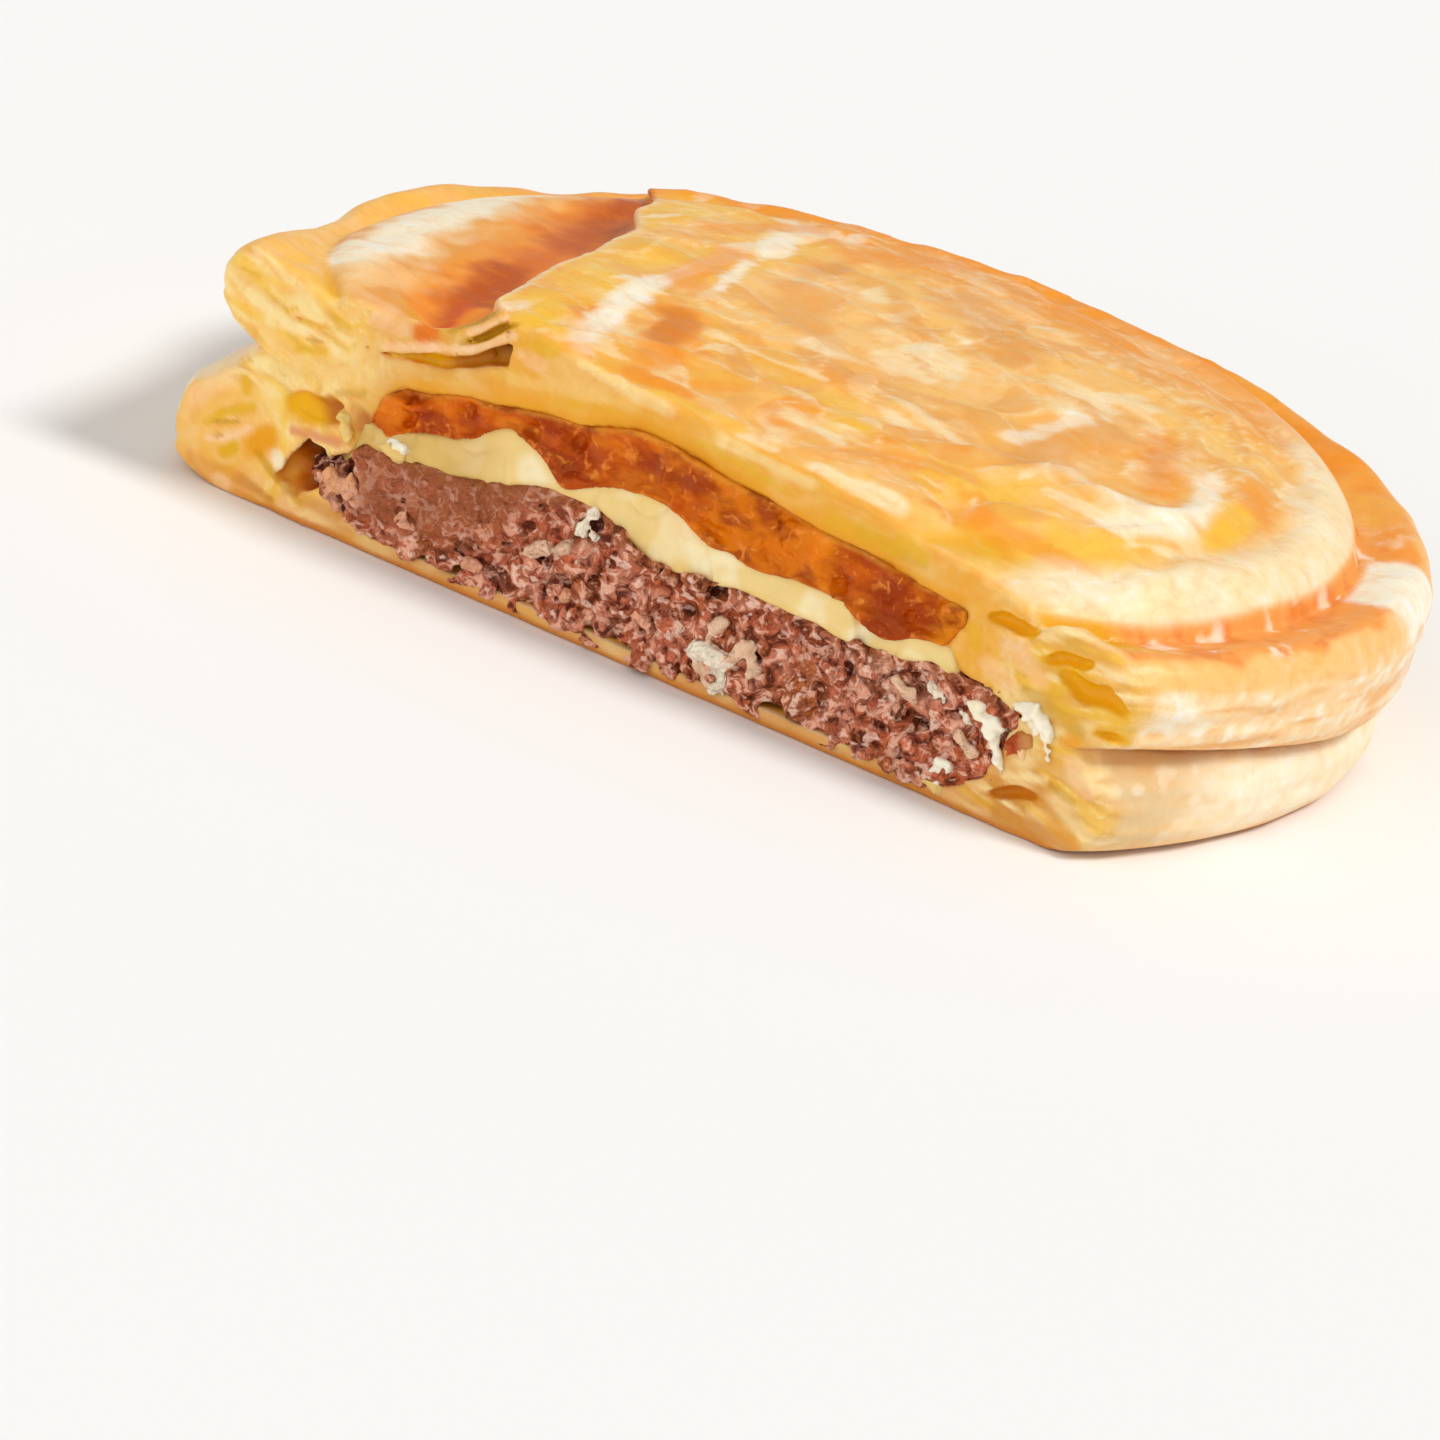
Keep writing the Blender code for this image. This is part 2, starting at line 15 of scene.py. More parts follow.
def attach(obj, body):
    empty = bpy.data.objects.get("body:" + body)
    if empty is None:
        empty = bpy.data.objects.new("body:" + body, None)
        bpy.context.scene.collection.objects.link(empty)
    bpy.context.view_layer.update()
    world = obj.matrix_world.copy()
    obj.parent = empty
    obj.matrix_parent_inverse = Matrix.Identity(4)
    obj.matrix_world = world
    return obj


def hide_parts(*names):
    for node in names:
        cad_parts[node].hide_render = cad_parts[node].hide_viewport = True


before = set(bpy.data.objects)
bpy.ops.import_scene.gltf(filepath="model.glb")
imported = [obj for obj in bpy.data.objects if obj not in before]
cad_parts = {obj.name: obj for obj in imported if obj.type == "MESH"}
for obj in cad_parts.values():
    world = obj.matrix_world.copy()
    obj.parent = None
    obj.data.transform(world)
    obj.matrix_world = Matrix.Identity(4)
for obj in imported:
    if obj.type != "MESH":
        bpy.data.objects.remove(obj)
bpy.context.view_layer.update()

MM = 0.001

# ---- the pie's dimensions: the part's own, and what its finer forms add -----------------------------------

FLANGE_RADIUS = 62.5
FLANGE_HEIGHT = 20.8
PLATEAU_RADIUS = 53.3
RIM_HEIGHT = 22.0
RIM_ROLL = 2.8
DOME_HEIGHT = 27.4
DOME_POWER = 3.5
SEAM_HEIGHT = 11.0
SEAM_RADIUS = 59.0
BASE_THICKNESS = 1.6

CUT_OFFSET = 36.4
CUT_FADE = 11.0
LEFT_END = -144.0
RIGHT_END = -37.0
SWELL_WIDTH = 22.0
SWELL_RISE = 4.6
SWELL_BULGE = 4.4
WAIST_DEPTH = 2.4
SEAM_DROP = 3.4
SEAM_DROP_ANGLE = 10.0
SEAM_DROP_WIDTH = 28.0
PINCH_ANGLE = -167.0
PINCH_DEPTH = 4.6
PINCH_WIDTH = 18.0
RIGHT_BULGE = 1.6
CORNER_BULGE = 2.4
CORNER_WIDTH = 7.0
DIP_ANGLE = 148.0
DIP_DEPTH = 1.3
DIP_WIDTH = 10.0

FILLING_SHIFT = 1.8
PATTY_RADIUS = 52.8
PATTY_BOTTOM = BASE_THICKNESS + 0.4
CHEESE_RADIUS = 48.8
RELISH_RADIUS = 49.8
GAP = 0.4
TOUCH = 0.12                  # in the baked food the layers press into one another by this
PATTY_PROUD = 0.3             # how far the layers stand out of the dough's cut face
RELISH_PROUD = 0.35
WALL_RADIUS = PATTY_RADIUS + GAP
RELISH_END = (31.4, 15.2, 0.5)       # x and z of the relish's lower right corner, and how its end leans
LEVEL_PATTY_TOP = 12.4
LEVEL_CHEESE_TOP = 15.4
LEVEL_RELISH_TOP = 20.0

# Tops of the layers along the cut: x and height
PATTY_TOP_AT_CUT = (
    (-36, 7.2), (-32, 11.0), (-24, 11.4), (-9, 14.6), (1, 11.4), (14, 12.6), (22, 11.8), (34, 13.2),
)
CHEESE_TOP_AT_CUT = (
    (-32, 12.8), (-24, 14.8), (-17, 18.2), (-9, 16.2), (-1, 17.6), (9, 15.5), (18, 15.4), (32, 15.2),
    (34, 12.6),
)
RELISH_TOP_AT_CUT = (
    (-34, 14.8), (-29, 17.8), (-22, 19.6), (-12, 21.2), (-3, 23.2), (8, 21.9), (17, 20.8), (34, 19.2),
)

# The lid's fold from the cut to the back: y and x, and then what lies beside it
FOLD_LINE = ((-38.6, -19.4), (-30.0, -24.8), (-12.0, -26.8), (4.0, -28.8), (17.0, -34.0), (41.0, -45.0))
FOLD_COSINE = 0.93
LIP_LIFT = 2.6
LIP_REACH = 13.0
FRONT_REACH = 26.0
PANEL_DROP = 2.6
PANEL_RIM = 46.5
PANEL_BACK = 27.0
RIM_RISE = 2.6
SWELL_RIM = 44.0
# Where the lid sags at the cut: x, reach and depth
SAG = (36.0, 11.0, 2.4)
# The hollows beside the patty at the cut: x, z, half width, half height and depth
HOLLOWS = ((-38.4, 5.7, 2.6, 2.7, 3.0), (-39.0, 11.8, 3.0, 1.9, 1.1))
# The middle of the swirl that the dough makes in the left bulge: x and z
SWIRL = (-49.1, 5.2)

# At the cut the panel's torn sheets stand up to meet the lip: x and how far they rise over the panel's floor
TORN_RISE = ((-33.0, 0.0), (-29.0, 1.4), (-26.5, 3.7), (-24.0, 6.3), (-22.0, 7.0), (-19.5, 7.0))
# The gap under them: x, and the heights of its lower and upper edge
WEDGE = (
    (-33.4, 19.9, 20.0), (-30.0, 20.4, 21.4), (-26.0, 21.2, 22.5), (-24.0, 22.0, 23.3), (-22.0, 22.9, 24.9),
    (-19.8, 23.8, 26.1),
)


# ---- rules that the shapes share -------------------------------------------------------------------------

def smooth(value, low, high):
    """0 below low, 1 above high, and a smooth step between."""
    share = np.clip((value - low) / (high - low), 0.0, 1.0)
    return share * share * (3.0 - 2.0 * share)


def along(points, position):
    """Heights at positions on a smooth line through a few points."""
    height = np.full(np.shape(position), float(points[0][1]))
    for (start, low), (end, high) in zip(points, points[1:]):
        height = np.where(position > start, low + (high - low) * smooth(position, start, end), height)
    return height


def rounded(points, position, width):
    """Values on a line through a few points whose corners are rounded over a width."""
    places, values = np.array(points, float).T
    weights = (1.0, 2.0, 3.0, 2.0, 1.0)
    shifts = np.linspace(-width, width, len(weights))
    total = sum(w * np.interp(position + s, places, values) for w, s in zip(weights, shifts))
    return total / sum(weights)


def inward(y, near, far):
    """Like smooth, between two depths behind the plane of the cut."""
    return smooth(y, -CUT_OFFSET + near, -CUT_OFFSET + far)


def near_angle(azimuth, centre, width):
    """1 at the azimuth called centre, fading to 0 on both sides over width degrees."""
    turn = (azimuth - centre + 180.0) % 360.0 - 180.0
    return np.exp(-(turn / width) ** 2)


def polar(x, y):
    """Radius and azimuth round the middle of the pie, the azimuth in degrees."""
    return np.hypot(x, y), np.degrees(np.arctan2(y, x))


def spot(x, y, centre, reach):
    """1 at a point, fading over the reach."""
    return np.exp(-((x - centre[0]) ** 2 + (y - centre[1]) ** 2) / reach ** 2)


def from_line(x, y, start, end):
    """How far points are from the line between two points."""
    way = np.subtract(end, start)
    share = np.clip(((x - start[0]) * way[0] + (y - start[1]) * way[1]) / (way @ way), 0.0, 1.0)
    return np.hypot(x - start[0] - share * way[0], y - start[1] - share * way[1])


def grain(x, y, z, size):
    """Smooth noise from -1 to 1, for maps, whose lumps measure about the given size in millimetres."""
    x, y, z = np.broadcast_arrays(x, y, z)
    points = (np.stack([x.ravel(), y.ravel(), z.ravel()], 1) / size).tolist()
    return np.array([noise.noise(point) for point in points]).reshape(x.shape)


LATTICE = np.random.default_rng(11).uniform(-1.0, 1.0, (64, 64, 64)).astype(np.float32)


def lattice_points(x, y, z, size):
    """The lattice cell of each point and how far into it the point is, for each axis."""
    cells, shares = [], []
    for values in (x, y, z):
        place = np.asarray(values, np.float32) / size
        cell = np.floor(place)
        share = place - cell
        cells.append(cell.astype(np.int32))
        shares.append(share * share * (3.0 - 2.0 * share))
    return cells, shares


def ripple(x, y, z, size):
    """Like grain, but quick enough for a whole block of points."""
    (i, j, k), (a, b, c) = lattice_points(x, y, z, size)
    total = 0.0
    for di in (0, 1):
        for dj in (0, 1):
            for dk in (0, 1):
                weight = (a if di else 1.0 - a) * (b if dj else 1.0 - b) * (c if dk else 1.0 - c)
                total = total + weight * LATTICE[(i + di) & 63, (j + dj) & 63, (k + dk) & 63]
    return total


JITTER = np.random.default_rng(5).random((32, 32, 32, 4)).astype(np.float32)


def pebbles(x, y, z, size):
    """Distances to the nearest two of scattered points, and the nearest one's own number."""
    x, y, z = (np.asarray(v, np.float32) / size for v in np.broadcast_arrays(x, y, z))
    i, j, k = (np.floor(v).astype(np.int32) for v in (x, y, z))
    first = np.full(x.shape, 9.0, np.float32)
    second = first.copy()
    number = np.zeros(x.shape, np.float32)
    for di in (-1, 0, 1):
        for dj in (-1, 0, 1):
            for dk in (-1, 0, 1):
                seed = JITTER[(i + di) & 31, (j + dj) & 31, (k + dk) & 31]
                apart = np.sqrt(
                    (i + di + seed[..., 0] - x) ** 2
                    + (j + dj + seed[..., 1] - y) ** 2
                    + (k + dk + seed[..., 2] - z) ** 2
                )
                nearer = apart < first
                second = np.where(nearer, first, np.minimum(second, apart))
                number = np.where(nearer, seed[..., 3], number)
                first = np.where(nearer, apart, first)
    return first * size, second * size, number


def join(a, b, blend):
    """Union of two solids with a fillet of about the blend."""
    share = np.clip(0.5 + 0.5 * (b - a) / blend, 0.0, 1.0)
    return b + (a - b) * share - blend * share * (1.0 - share)


def meet(a, b, blend):
    """What two solids have in common, with its edge rounded over about the blend."""
    return -join(-a, -b, blend)


def swell(azimuth):
    """How far the left end is swollen, from 0 to 1."""
    return near_angle(azimuth, LEFT_END, SWELL_WIDTH)


def seam_drop(azimuth):
    """How far the seam drops on the right."""
    return SEAM_DROP * near_angle(azimuth, SEAM_DROP_ANGLE, SEAM_DROP_WIDTH)


def waist_depth(azimuth, y):
    """How far the side is drawn in at the seam: the dough fills it out towards the cut."""
    pinch = 0.8 * PINCH_DEPTH * near_angle(azimuth, PINCH_ANGLE, PINCH_WIDTH)
    return (WAIST_DEPTH * swell(azimuth) + pinch) * (1.0 - 0.9 * inward(y, 9.0, 1.0))


def behind_cut(y):
    """1 at the cut, fading to 0 behind it."""
    return 1.0 - inward(y, 1.0, CUT_FADE)


def layer_top(level, cut_points, x, y):
    """Top of a filling layer: the wavy line seen at the cut, settling to a level inside."""
    share = behind_cut(y)
    return level * (1.0 - share) + along(cut_points, x) * share


def patty_top(x, y):
    return layer_top(LEVEL_PATTY_TOP, PATTY_TOP_AT_CUT, x, y)


def cheese_top(x, y):
    return layer_top(LEVEL_CHEESE_TOP, CHEESE_TOP_AT_CUT, x, y)


def relish_top(x, y):
    """Top of the relish, which thins out at the wall and at its right end."""
    edge = smooth(np.hypot(x - FILLING_SHIFT, y), RELISH_RADIUS - 7.0, RELISH_RADIUS + 2.0)
    thinned = 6.2 * smooth(x, 32.2, 34.4) * behind_cut(y)
    return layer_top(LEVEL_RELISH_TOP - 2.4 * edge, RELISH_TOP_AT_CUT, x, y) - thinned


def past_relish(x, z):
    """How far points are to the right of the relish's end, which leans in towards its lower edge."""
    end_x, end_z, lean = RELISH_END
    return x - end_x - lean * (z - end_z)


def fold_side(x, y):
    """Distance to the right of the fold line, negative on its left."""
    return (x - along(FOLD_LINE, y)) * FOLD_COSINE


def dome_height(x, y):
    """Height of the lid's dome, which flattens out past its rim."""
    radius, azimuth = polar(x, y)
    radius = np.minimum(radius, PLATEAU_RADIUS)
    fall = (DOME_HEIGHT - RIM_HEIGHT) * (radius / PLATEAU_RADIUS) ** DOME_POWER
    return DOME_HEIGHT - fall + RIM_RISE * swell(azimuth) * smooth(radius, SWELL_RIM, PLATEAU_RADIUS)


# ---- the skin of a field ---------------------------------------------------------------------------------

CORNERS = [(i, j, k) for i in (0, 1) for j in (0, 1) for k in (0, 1)]
EDGES = [(a, b) for a in CORNERS for b in CORNERS if a < b and sum(abs(p - q) for p, q in zip(a, b)) == 1]


def skin(field, lines):
    """Vertices and square faces of the surface where a field is zero (surface nets), on a grid's lines."""
    inside = field < 0.0
    count = np.zeros(tuple(n - 1 for n in field.shape), np.uint8)
    for i, j, k in CORNERS:
        count += inside[i:i + count.shape[0], j:j + count.shape[1], k:k + count.shape[2]]
    cells = np.argwhere((count > 0) & (count < 8))
    place = np.zeros((len(cells), 3))
    crossings = np.zeros(len(cells))
    for a, b in EDGES:
        at_a = field[tuple((cells + a).T)].astype(float)
        at_b = field[tuple((cells + b).T)].astype(float)
        cross = (at_a < 0.0) != (at_b < 0.0)
        share = (at_a[cross] / (at_a[cross] - at_b[cross]))[:, None]
        place[cross] += np.array(a) + share * (np.array(b) - np.array(a))
        crossings[cross] += 1.0
    place = cells + place / crossings[:, None]
    vertices = [np.interp(places, np.arange(len(line)), line) for places, line in zip(place.T, lines)]

    index = np.full(count.shape, -1, np.int32)
    index[tuple(cells.T)] = np.arange(len(cells))
    faces = []
    for axis in range(3):
        low, high = [slice(1, -1)] * 3, [slice(1, -1)] * 3
        low[axis], high[axis] = slice(0, -1), slice(1, None)
        changes = inside[tuple(low)] != inside[tuple(high)]
        outward = inside[tuple(low)][changes]
        square = []
        for du, dv in ((0, 0), (1, 0), (1, 1), (0, 1)):
            cell = np.argwhere(changes)
            cell[:, (axis + 1) % 3] += du
            cell[:, (axis + 2) % 3] += dv
            square.append(index[tuple(cell.T)])
        square = np.stack(square, 1)
        square[~outward] = square[~outward][:, ::-1]
        faces.append(square)
    return np.stack(vertices, 1), np.concatenate(faces)


def largest(vertices, faces):
    """Only the largest connected part, without loose specks."""
    label = np.arange(len(vertices))
    while True:
        lowest = label[faces].min(axis=1)
        new = label.copy()
        for n in range(4):
            np.minimum.at(new, faces[:, n], lowest)
        new = new[new]
        if np.array_equal(new, label):
            break
        label = new
    kept = label == np.bincount(label[faces[:, 0]]).argmax()
    number = np.cumsum(kept) - 1
    return vertices[kept], number[faces[kept[faces[:, 0]]]]


def relax(vertices, faces, free, rounds=9):
    """Evens out a skin where free is 1: each vertex moves half-way to the middle of its neighbours."""
    ends = np.concatenate([faces[:, (n, (n + 1) % 4)] for n in range(4)])
    ends = np.concatenate([ends, ends[:, ::-1]])
    neighbours = np.bincount(ends[:, 0], minlength=len(vertices))
    for _ in range(rounds):
        total = np.stack([np.bincount(ends[:, 0], line[ends[:, 1]]) for line in vertices.T], 1)
        vertices = vertices + 0.5 * free[:, None] * (total / neighbours[:, None] - vertices)
    return vertices


def behind_and_outside(vertices):
    """1 on the rim and the side behind the cut, where an even skin matters more than fine relief."""
    x, y, _ = vertices.T
    return smooth(y, -33.0, -30.0) * smooth(np.hypot(x, y), 49.0, 51.0)


def skinned(name, field, lines, look, slot_name, node, even=False):
    """The piece whose solid is the field, and its vertices. It can be evened out behind the cut."""
    vertices, faces = largest(*skin(field, lines))
    if even:
        vertices = relax(vertices, faces, behind_and_outside(vertices))
    return mesh_piece(name, vertices, faces, look, slot_name, node), vertices


def mesh_piece(name, vertices, faces, look, slot_name, *nodes):
    """A piece of the pie from points in millimetres: rides on the root and stands for CAD nodes."""
    mesh = bpy.data.meshes.new(name)
    mesh.vertices.add(len(vertices))
    mesh.vertices.foreach_set("co", (vertices * MM).astype(np.float32).ravel())
    mesh.loops.add(faces.size)
    mesh.loops.foreach_set("vertex_index", faces.astype(np.int32).ravel())
    mesh.polygons.add(len(faces))
    mesh.polygons.foreach_set("loop_start", np.arange(0, faces.size, faces.shape[1], dtype=np.int32))
    mesh.update(calc_edges=True)
    mesh.validate()
    mesh.shade_smooth()
    mesh.materials.append(look)
    piece = bpy.data.objects.new(name, mesh)
    bpy.context.scene.collection.objects.link(piece)
    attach(piece, "root")
    if nodes:
        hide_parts(*nodes)
    return piece


def paint(piece, name, values):
    """Stores a colour or a value for each vertex, which the piece's material reads."""
    values = np.asarray(values, np.float32)
    if values.ndim == 1:
        layer = piece.data.attributes.new(name, "FLOAT", "POINT")
        layer.data.foreach_set("value", values)
    else:
        layer = piece.data.attributes.new(name, "FLOAT_COLOR", "POINT")
        layer.data.foreach_set("color", np.column_stack([values, np.ones(len(values), np.float32)]).ravel())


def grid(*lines):
    """Places along one axis: stretches of even spacing, each (start, end, spacing)."""
    return np.concatenate([np.arange(start, end, spacing) for start, end, spacing in lines])


def space(xs, ys, zs):
    """A grid's points: x and y seen from above, then x, y and z through the whole block."""
    x, y = np.meshgrid(xs, ys, indexing="ij")
    return x, y, x[..., None], y[..., None], zs[None, None, :]


def near_cut(lines, x, y, z, reach):
    """The points of a grid's block as far behind the cut as the reach."""
    front = int(np.searchsorted(lines[1], -CUT_OFFSET + reach))
    return x[:, :front], y[:, :front], z


def carve(field, hole, blend=0.25):
    """Takes a hole out of the front part of a solid, where the hole's own points are."""
    front = hole.shape[1]
    field[:, :front] = meet(field[:, :front], -hole, blend)


# ---- colours ---------------------------------------------------------------------------------------------

def shade(red, green, blue):
    """A colour as seen on a screen, 0 to 255, as the shader's linear values."""
    parts = np.array((red, green, blue)) / 255.0
    return np.where(parts <= 0.04045, parts / 12.92, ((parts + 0.055) / 1.055) ** 2.4)


GOLD = shade(252, 194, 102)
TAN = shade(232, 158, 72)
AMBER = shade(244, 148, 28)
YELLOW = shade(250, 196, 52)
CREAM = shade(255, 236, 192)
WHITE_CREAM = shade(255, 246, 222)
PEACH = shade(253, 200, 130)
RIM_ORANGE = shade(248, 162, 82)
RIM_DARK = shade(224, 110, 34)
BACK_ORANGE = shade(246, 148, 8)
BROWN = shade(186, 80, 0)
SIDE_CREAM = shade(255, 232, 190)
CUT_BAND = shade(240, 174, 66)
CUT_LEFT = shade(252, 202, 112)
CUT_RIGHT = shade(232, 176, 78)
CUT_TAN = shade(208, 142, 66)
BULGE_GOLD = shade(246, 180, 84)
CUT_BEIGE = shade(246, 200, 112)
CUT_PALE = shade(255, 232, 168)
CUT_PINK = shade(255, 206, 146)
CUT_YELLOW = shade(250, 202, 60)
LINE_OLIVE = shade(210, 152, 22)
OLIVE = shade(200, 146, 0)
MARK_GOLD = shade(232, 178, 26)
MARK_ORANGE = shade(236, 160, 8)
SHEET_PINK = shade(255, 206, 156)
CRUST_UNDER = shade(214, 134, 52)
OPENING = shade(236, 172, 0)
HOLLOW_AMBER = shade(240, 176, 0)
HOLLOW_BROWN = shade(178, 88, 20)
SLIT_BROWN = shade(206, 124, 10)
BAKED_ORANGE = shade(228, 108, 0)
OPENING_TAN = shade(214, 140, 40)
BASE_WHITE = shade(255, 243, 218)
BASE_BEIGE = shade(222, 188, 134)


def tinted(base, *layers):
    """A base colour with layers mixed over it: each is one colour or one for each vertex, and its share."""
    mixed = np.array(base, float)
    if mixed.ndim == 1:
        mixed = np.tile(mixed, (len(layers[0][1]), 1))
    for color, share in layers:
        share = np.clip(share, 0.0, 1.0)[:, None]
        mixed = mixed * (1.0 - share) + color * share
    return mixed


def stroke(x, y, start, end, width, edge=0.5):
    """1 on a soft brush stroke between two points, 0 off it, with a wandering edge."""
    wander = 1.0 + 0.45 * ripple(x, y, 7.0, 2.6) + 0.25 * ripple(x, y, 19.0, 1.1)
    return 1.0 - smooth(from_line(x, y, start, end) / (width * wander), 1.0 - edge, 1.0 + edge)


def marked(tint, marks, x, y):
    """Tints with single marks painted over them: each has a colour, a share, two ends and half its width."""
    for color, share, start, end, width in marks:
        tint = tinted(tint, (color, share * stroke(x, y, start, end, width)))
    return tint


# ---- materials -------------------------------------------------------------------------------------------

class Look:
    """A material and the nodes that it is built from. Sizes are in millimetres."""

    def __init__(self, name):
        self.material = bpy.data.materials.new(name)
        self.material.use_nodes = True
        self.tree = self.material.node_tree
        self.shader = self.tree.nodes["Principled BSDF"]

    def fill(self, node, inputs):
        """Sets a node's inputs, each to a value or to what another node gives."""
        for name, value in inputs.items():
            if isinstance(value, bpy.types.NodeSocket):
                self.tree.links.new(value, node.inputs[name])
            else:
                node.inputs[name].default_value = value

    def node(self, kind, inputs, **settings):
        """A new shader node of a kind."""
        node = self.tree.nodes.new("ShaderNode" + kind)
        for name, value in settings.items():
            setattr(node, name, value)
        self.fill(node, inputs)
        return node

    def painted(self, name):
        """What is painted on the piece's vertices under a name."""
        return self.node("Attribute", {}, attribute_name=name)

    def place(self):
        """Each point's place in the object's own frame."""
        return self.node("TexCoord", {}).outputs["Object"]

    def noise(self, size, detail=4.0, roughness=0.55, stretch=(1.0, 1.0, 1.0), distortion=0.0):
        """Noise whose lumps measure about the size, fixed to the object."""
        scale = [s / (size * MM) for s in stretch]
        mapping = self.node("Mapping", {"Vector": self.place(), "Scale": scale})
        character = {"Scale": 1.0, "Detail": detail, "Roughness": roughness, "Distortion": distortion}
        return self.node("TexNoise", {"Vector": mapping.outputs["Vector"], **character}).outputs["Fac"]

    def cells(self, size):
        """Cells like crumbs, whose width is about the size, with bent edges."""
        place = self.place()
        frequency = 1.0 / (size * MM)
        bend = self.node("TexNoise", {"Vector": place, "Scale": frequency}).outputs["Color"]
        reach = (size * MM * 0.9,) * 3
        bent = self.node("VectorMath", {0: bend, 1: reach, 2: place}, operation="MULTIPLY_ADD")
        return self.node("TexVoronoi", {"Vector": bent.outputs["Vector"], "Scale": frequency}, feature="F1")

    def ramp(self, value, low, high, from_value, to_value):
        """Maps a value's range low to high to another range, and stays in it."""
        ranges = {"From Min": low, "From Max": high, "To Min": from_value, "To Max": to_value}
        return self.node("MapRange", {"Value": value, **ranges}).outputs["Result"]

    def mix(self, share, first, second, blend="MIX"):
        """The first colour with a share of the second, which is a colour's own values, blended in."""
        inputs = {"Factor": share, "A": first, "B": (*second, 1.0)}
        return self.node("Mix", inputs, data_type="RGBA", blend_type=blend).outputs["Result"]

    def finish(self, soft_share, soft_reach, soft_scale, relief, inputs):
        """Sets the shader's inputs, the light scattered under its surface, and its fine relief.

        The scattered light has a share, how far each colour goes, and a scale. Each layer of the relief is a
        height, its depth and its strength.
        """
        normal = {}
        for height, depth, strength in relief:
            layer = {"Height": height, "Distance": depth * MM, "Strength": strength, **normal}
            normal = {"Normal": self.node("Bump", layer).outputs["Normal"]}
        self.fill(self.shader, {
            "Subsurface Weight": soft_share,
            "Subsurface Radius": soft_reach,
            "Subsurface Scale": soft_scale * MM,
            **normal,
            **inputs,
        })
        return self.material


def pastry_look(name, coat, mottling):
    """Baked pastry: painted tints with fine mottling, flaky relief, some gloss from the glaze."""
    look = Look(name)
    mottle = look.noise(2.4, 5.0, 0.6, distortion=0.6)
    fine = look.noise(0.8, 3.0, 0.6)
    flaky = look.noise(3.0, 3.5, 0.58, (1.0, 0.7, 1.5), 0.3)
    color = look.painted("tint").outputs["Color"]
    color = look.mix(look.ramp(mottle, 0.50, 0.66, 0.0, 0.24 * mottling), color, shade(240, 148, 40))
    pale, fleck = look.ramp(mottle, 0.46, 0.32, 0.0, 0.42 * mottling), look.ramp(fine, 0.56, 0.72, 0.0, 0.30)
    color = look.mix(pale, color, (1.0, 1.17, 1.75), "MULTIPLY")
    color = look.mix(fleck, color, (1.0, 1.15, 1.6), "MULTIPLY")
    return look.finish(0.22, (1.0, 0.6, 0.28), 1.1, ((flaky, 0.6, 0.28), (fine, 0.22, 0.28)), {
        "Base Color": color,
        "Roughness": look.ramp(mottle, 0.3, 0.7, 0.36, 0.6),
        "Specular IOR Level": 0.25,
        "Specular Tint": (1.0, 0.82, 0.52, 1.0),
        "Coat Weight": coat,
        "Coat Roughness": 0.22,
        "Coat Tint": (1.0, 0.96, 0.88, 1.0),
    })


def beef_look():
    """Minced beef: painted tints, crumbs about a millimetre wide, each its own tone, and painted light:
    highlights on raised specks, shade in the gaps, glints.
    """
    look = Look("minced beef")
    rough = look.painted("rough").outputs["Fac"]
    crumbs = look.cells(1.0)
    crumb_tone = look.node("SeparateColor", {"Color": crumbs.outputs["Color"]}).outputs
    mottle = look.noise(1.4, 4.0, 0.65)
    fine = look.noise(0.4, 3.0, 0.6)
    lit_and_shaded_specks = look.noise(1.5, 3.0, 0.6, distortion=0.7)
    glints = look.noise(1.2, 1.5, 0.5, (1.0, 1.0, 1.3))

    def share(value, low, high, most):
        """A ramp up to most, on the rough stretches of the patty only."""
        ramped = look.ramp(value, low, high, 0.0, most)
        return look.node("Math", {0: ramped, 1: rough}, operation="MULTIPLY").outputs["Value"]

    color = look.painted("tint").outputs["Color"]
    for value, low, high, most, tone in (
        (crumb_tone["Red"], 0.60, 0.80, 0.30, shade(210, 140, 112)),
        (crumb_tone["Blue"], 0.70, 0.85, 0.35, shade(140, 66, 42)),
        (mottle, 0.46, 0.36, 0.40, shade(120, 58, 34)),
        # painted shade in the gaps between raised specks, then painted highlights on their tops
        (lit_and_shaded_specks, 0.46, 0.36, 0.92, shade(88, 32, 16)),
        (lit_and_shaded_specks, 0.53, 0.60, 0.90, shade(250, 190, 162)),
        # painted glints on the crumbs
        (glints, 0.58, 0.66, 0.80, shade(254, 212, 190)),
    ):
        color = look.mix(share(value, low, high, most), color, tone)
    color = look.mix(look.ramp(fine, 0.58, 0.72, 0.0, 0.20), color, shade(232, 180, 150))
    height = share(crumbs.outputs["Distance"], 0.75, 0.0, 1.0)
    relief = ((height, 0.3, 0.4), (lit_and_shaded_specks, 1.2, 0.9), (glints, 0.6, 0.7), (fine, 0.25, 0.4))
    return look.finish(0.12, (1.0, 0.4, 0.3), 0.6, relief, {
        "Base Color": color,
        "Roughness": look.ramp(mottle, 0.3, 0.7, 0.3, 0.55),
        "Specular IOR Level": 0.25,
        "Specular Tint": (1.0, 0.60, 0.42, 1.0),
    })


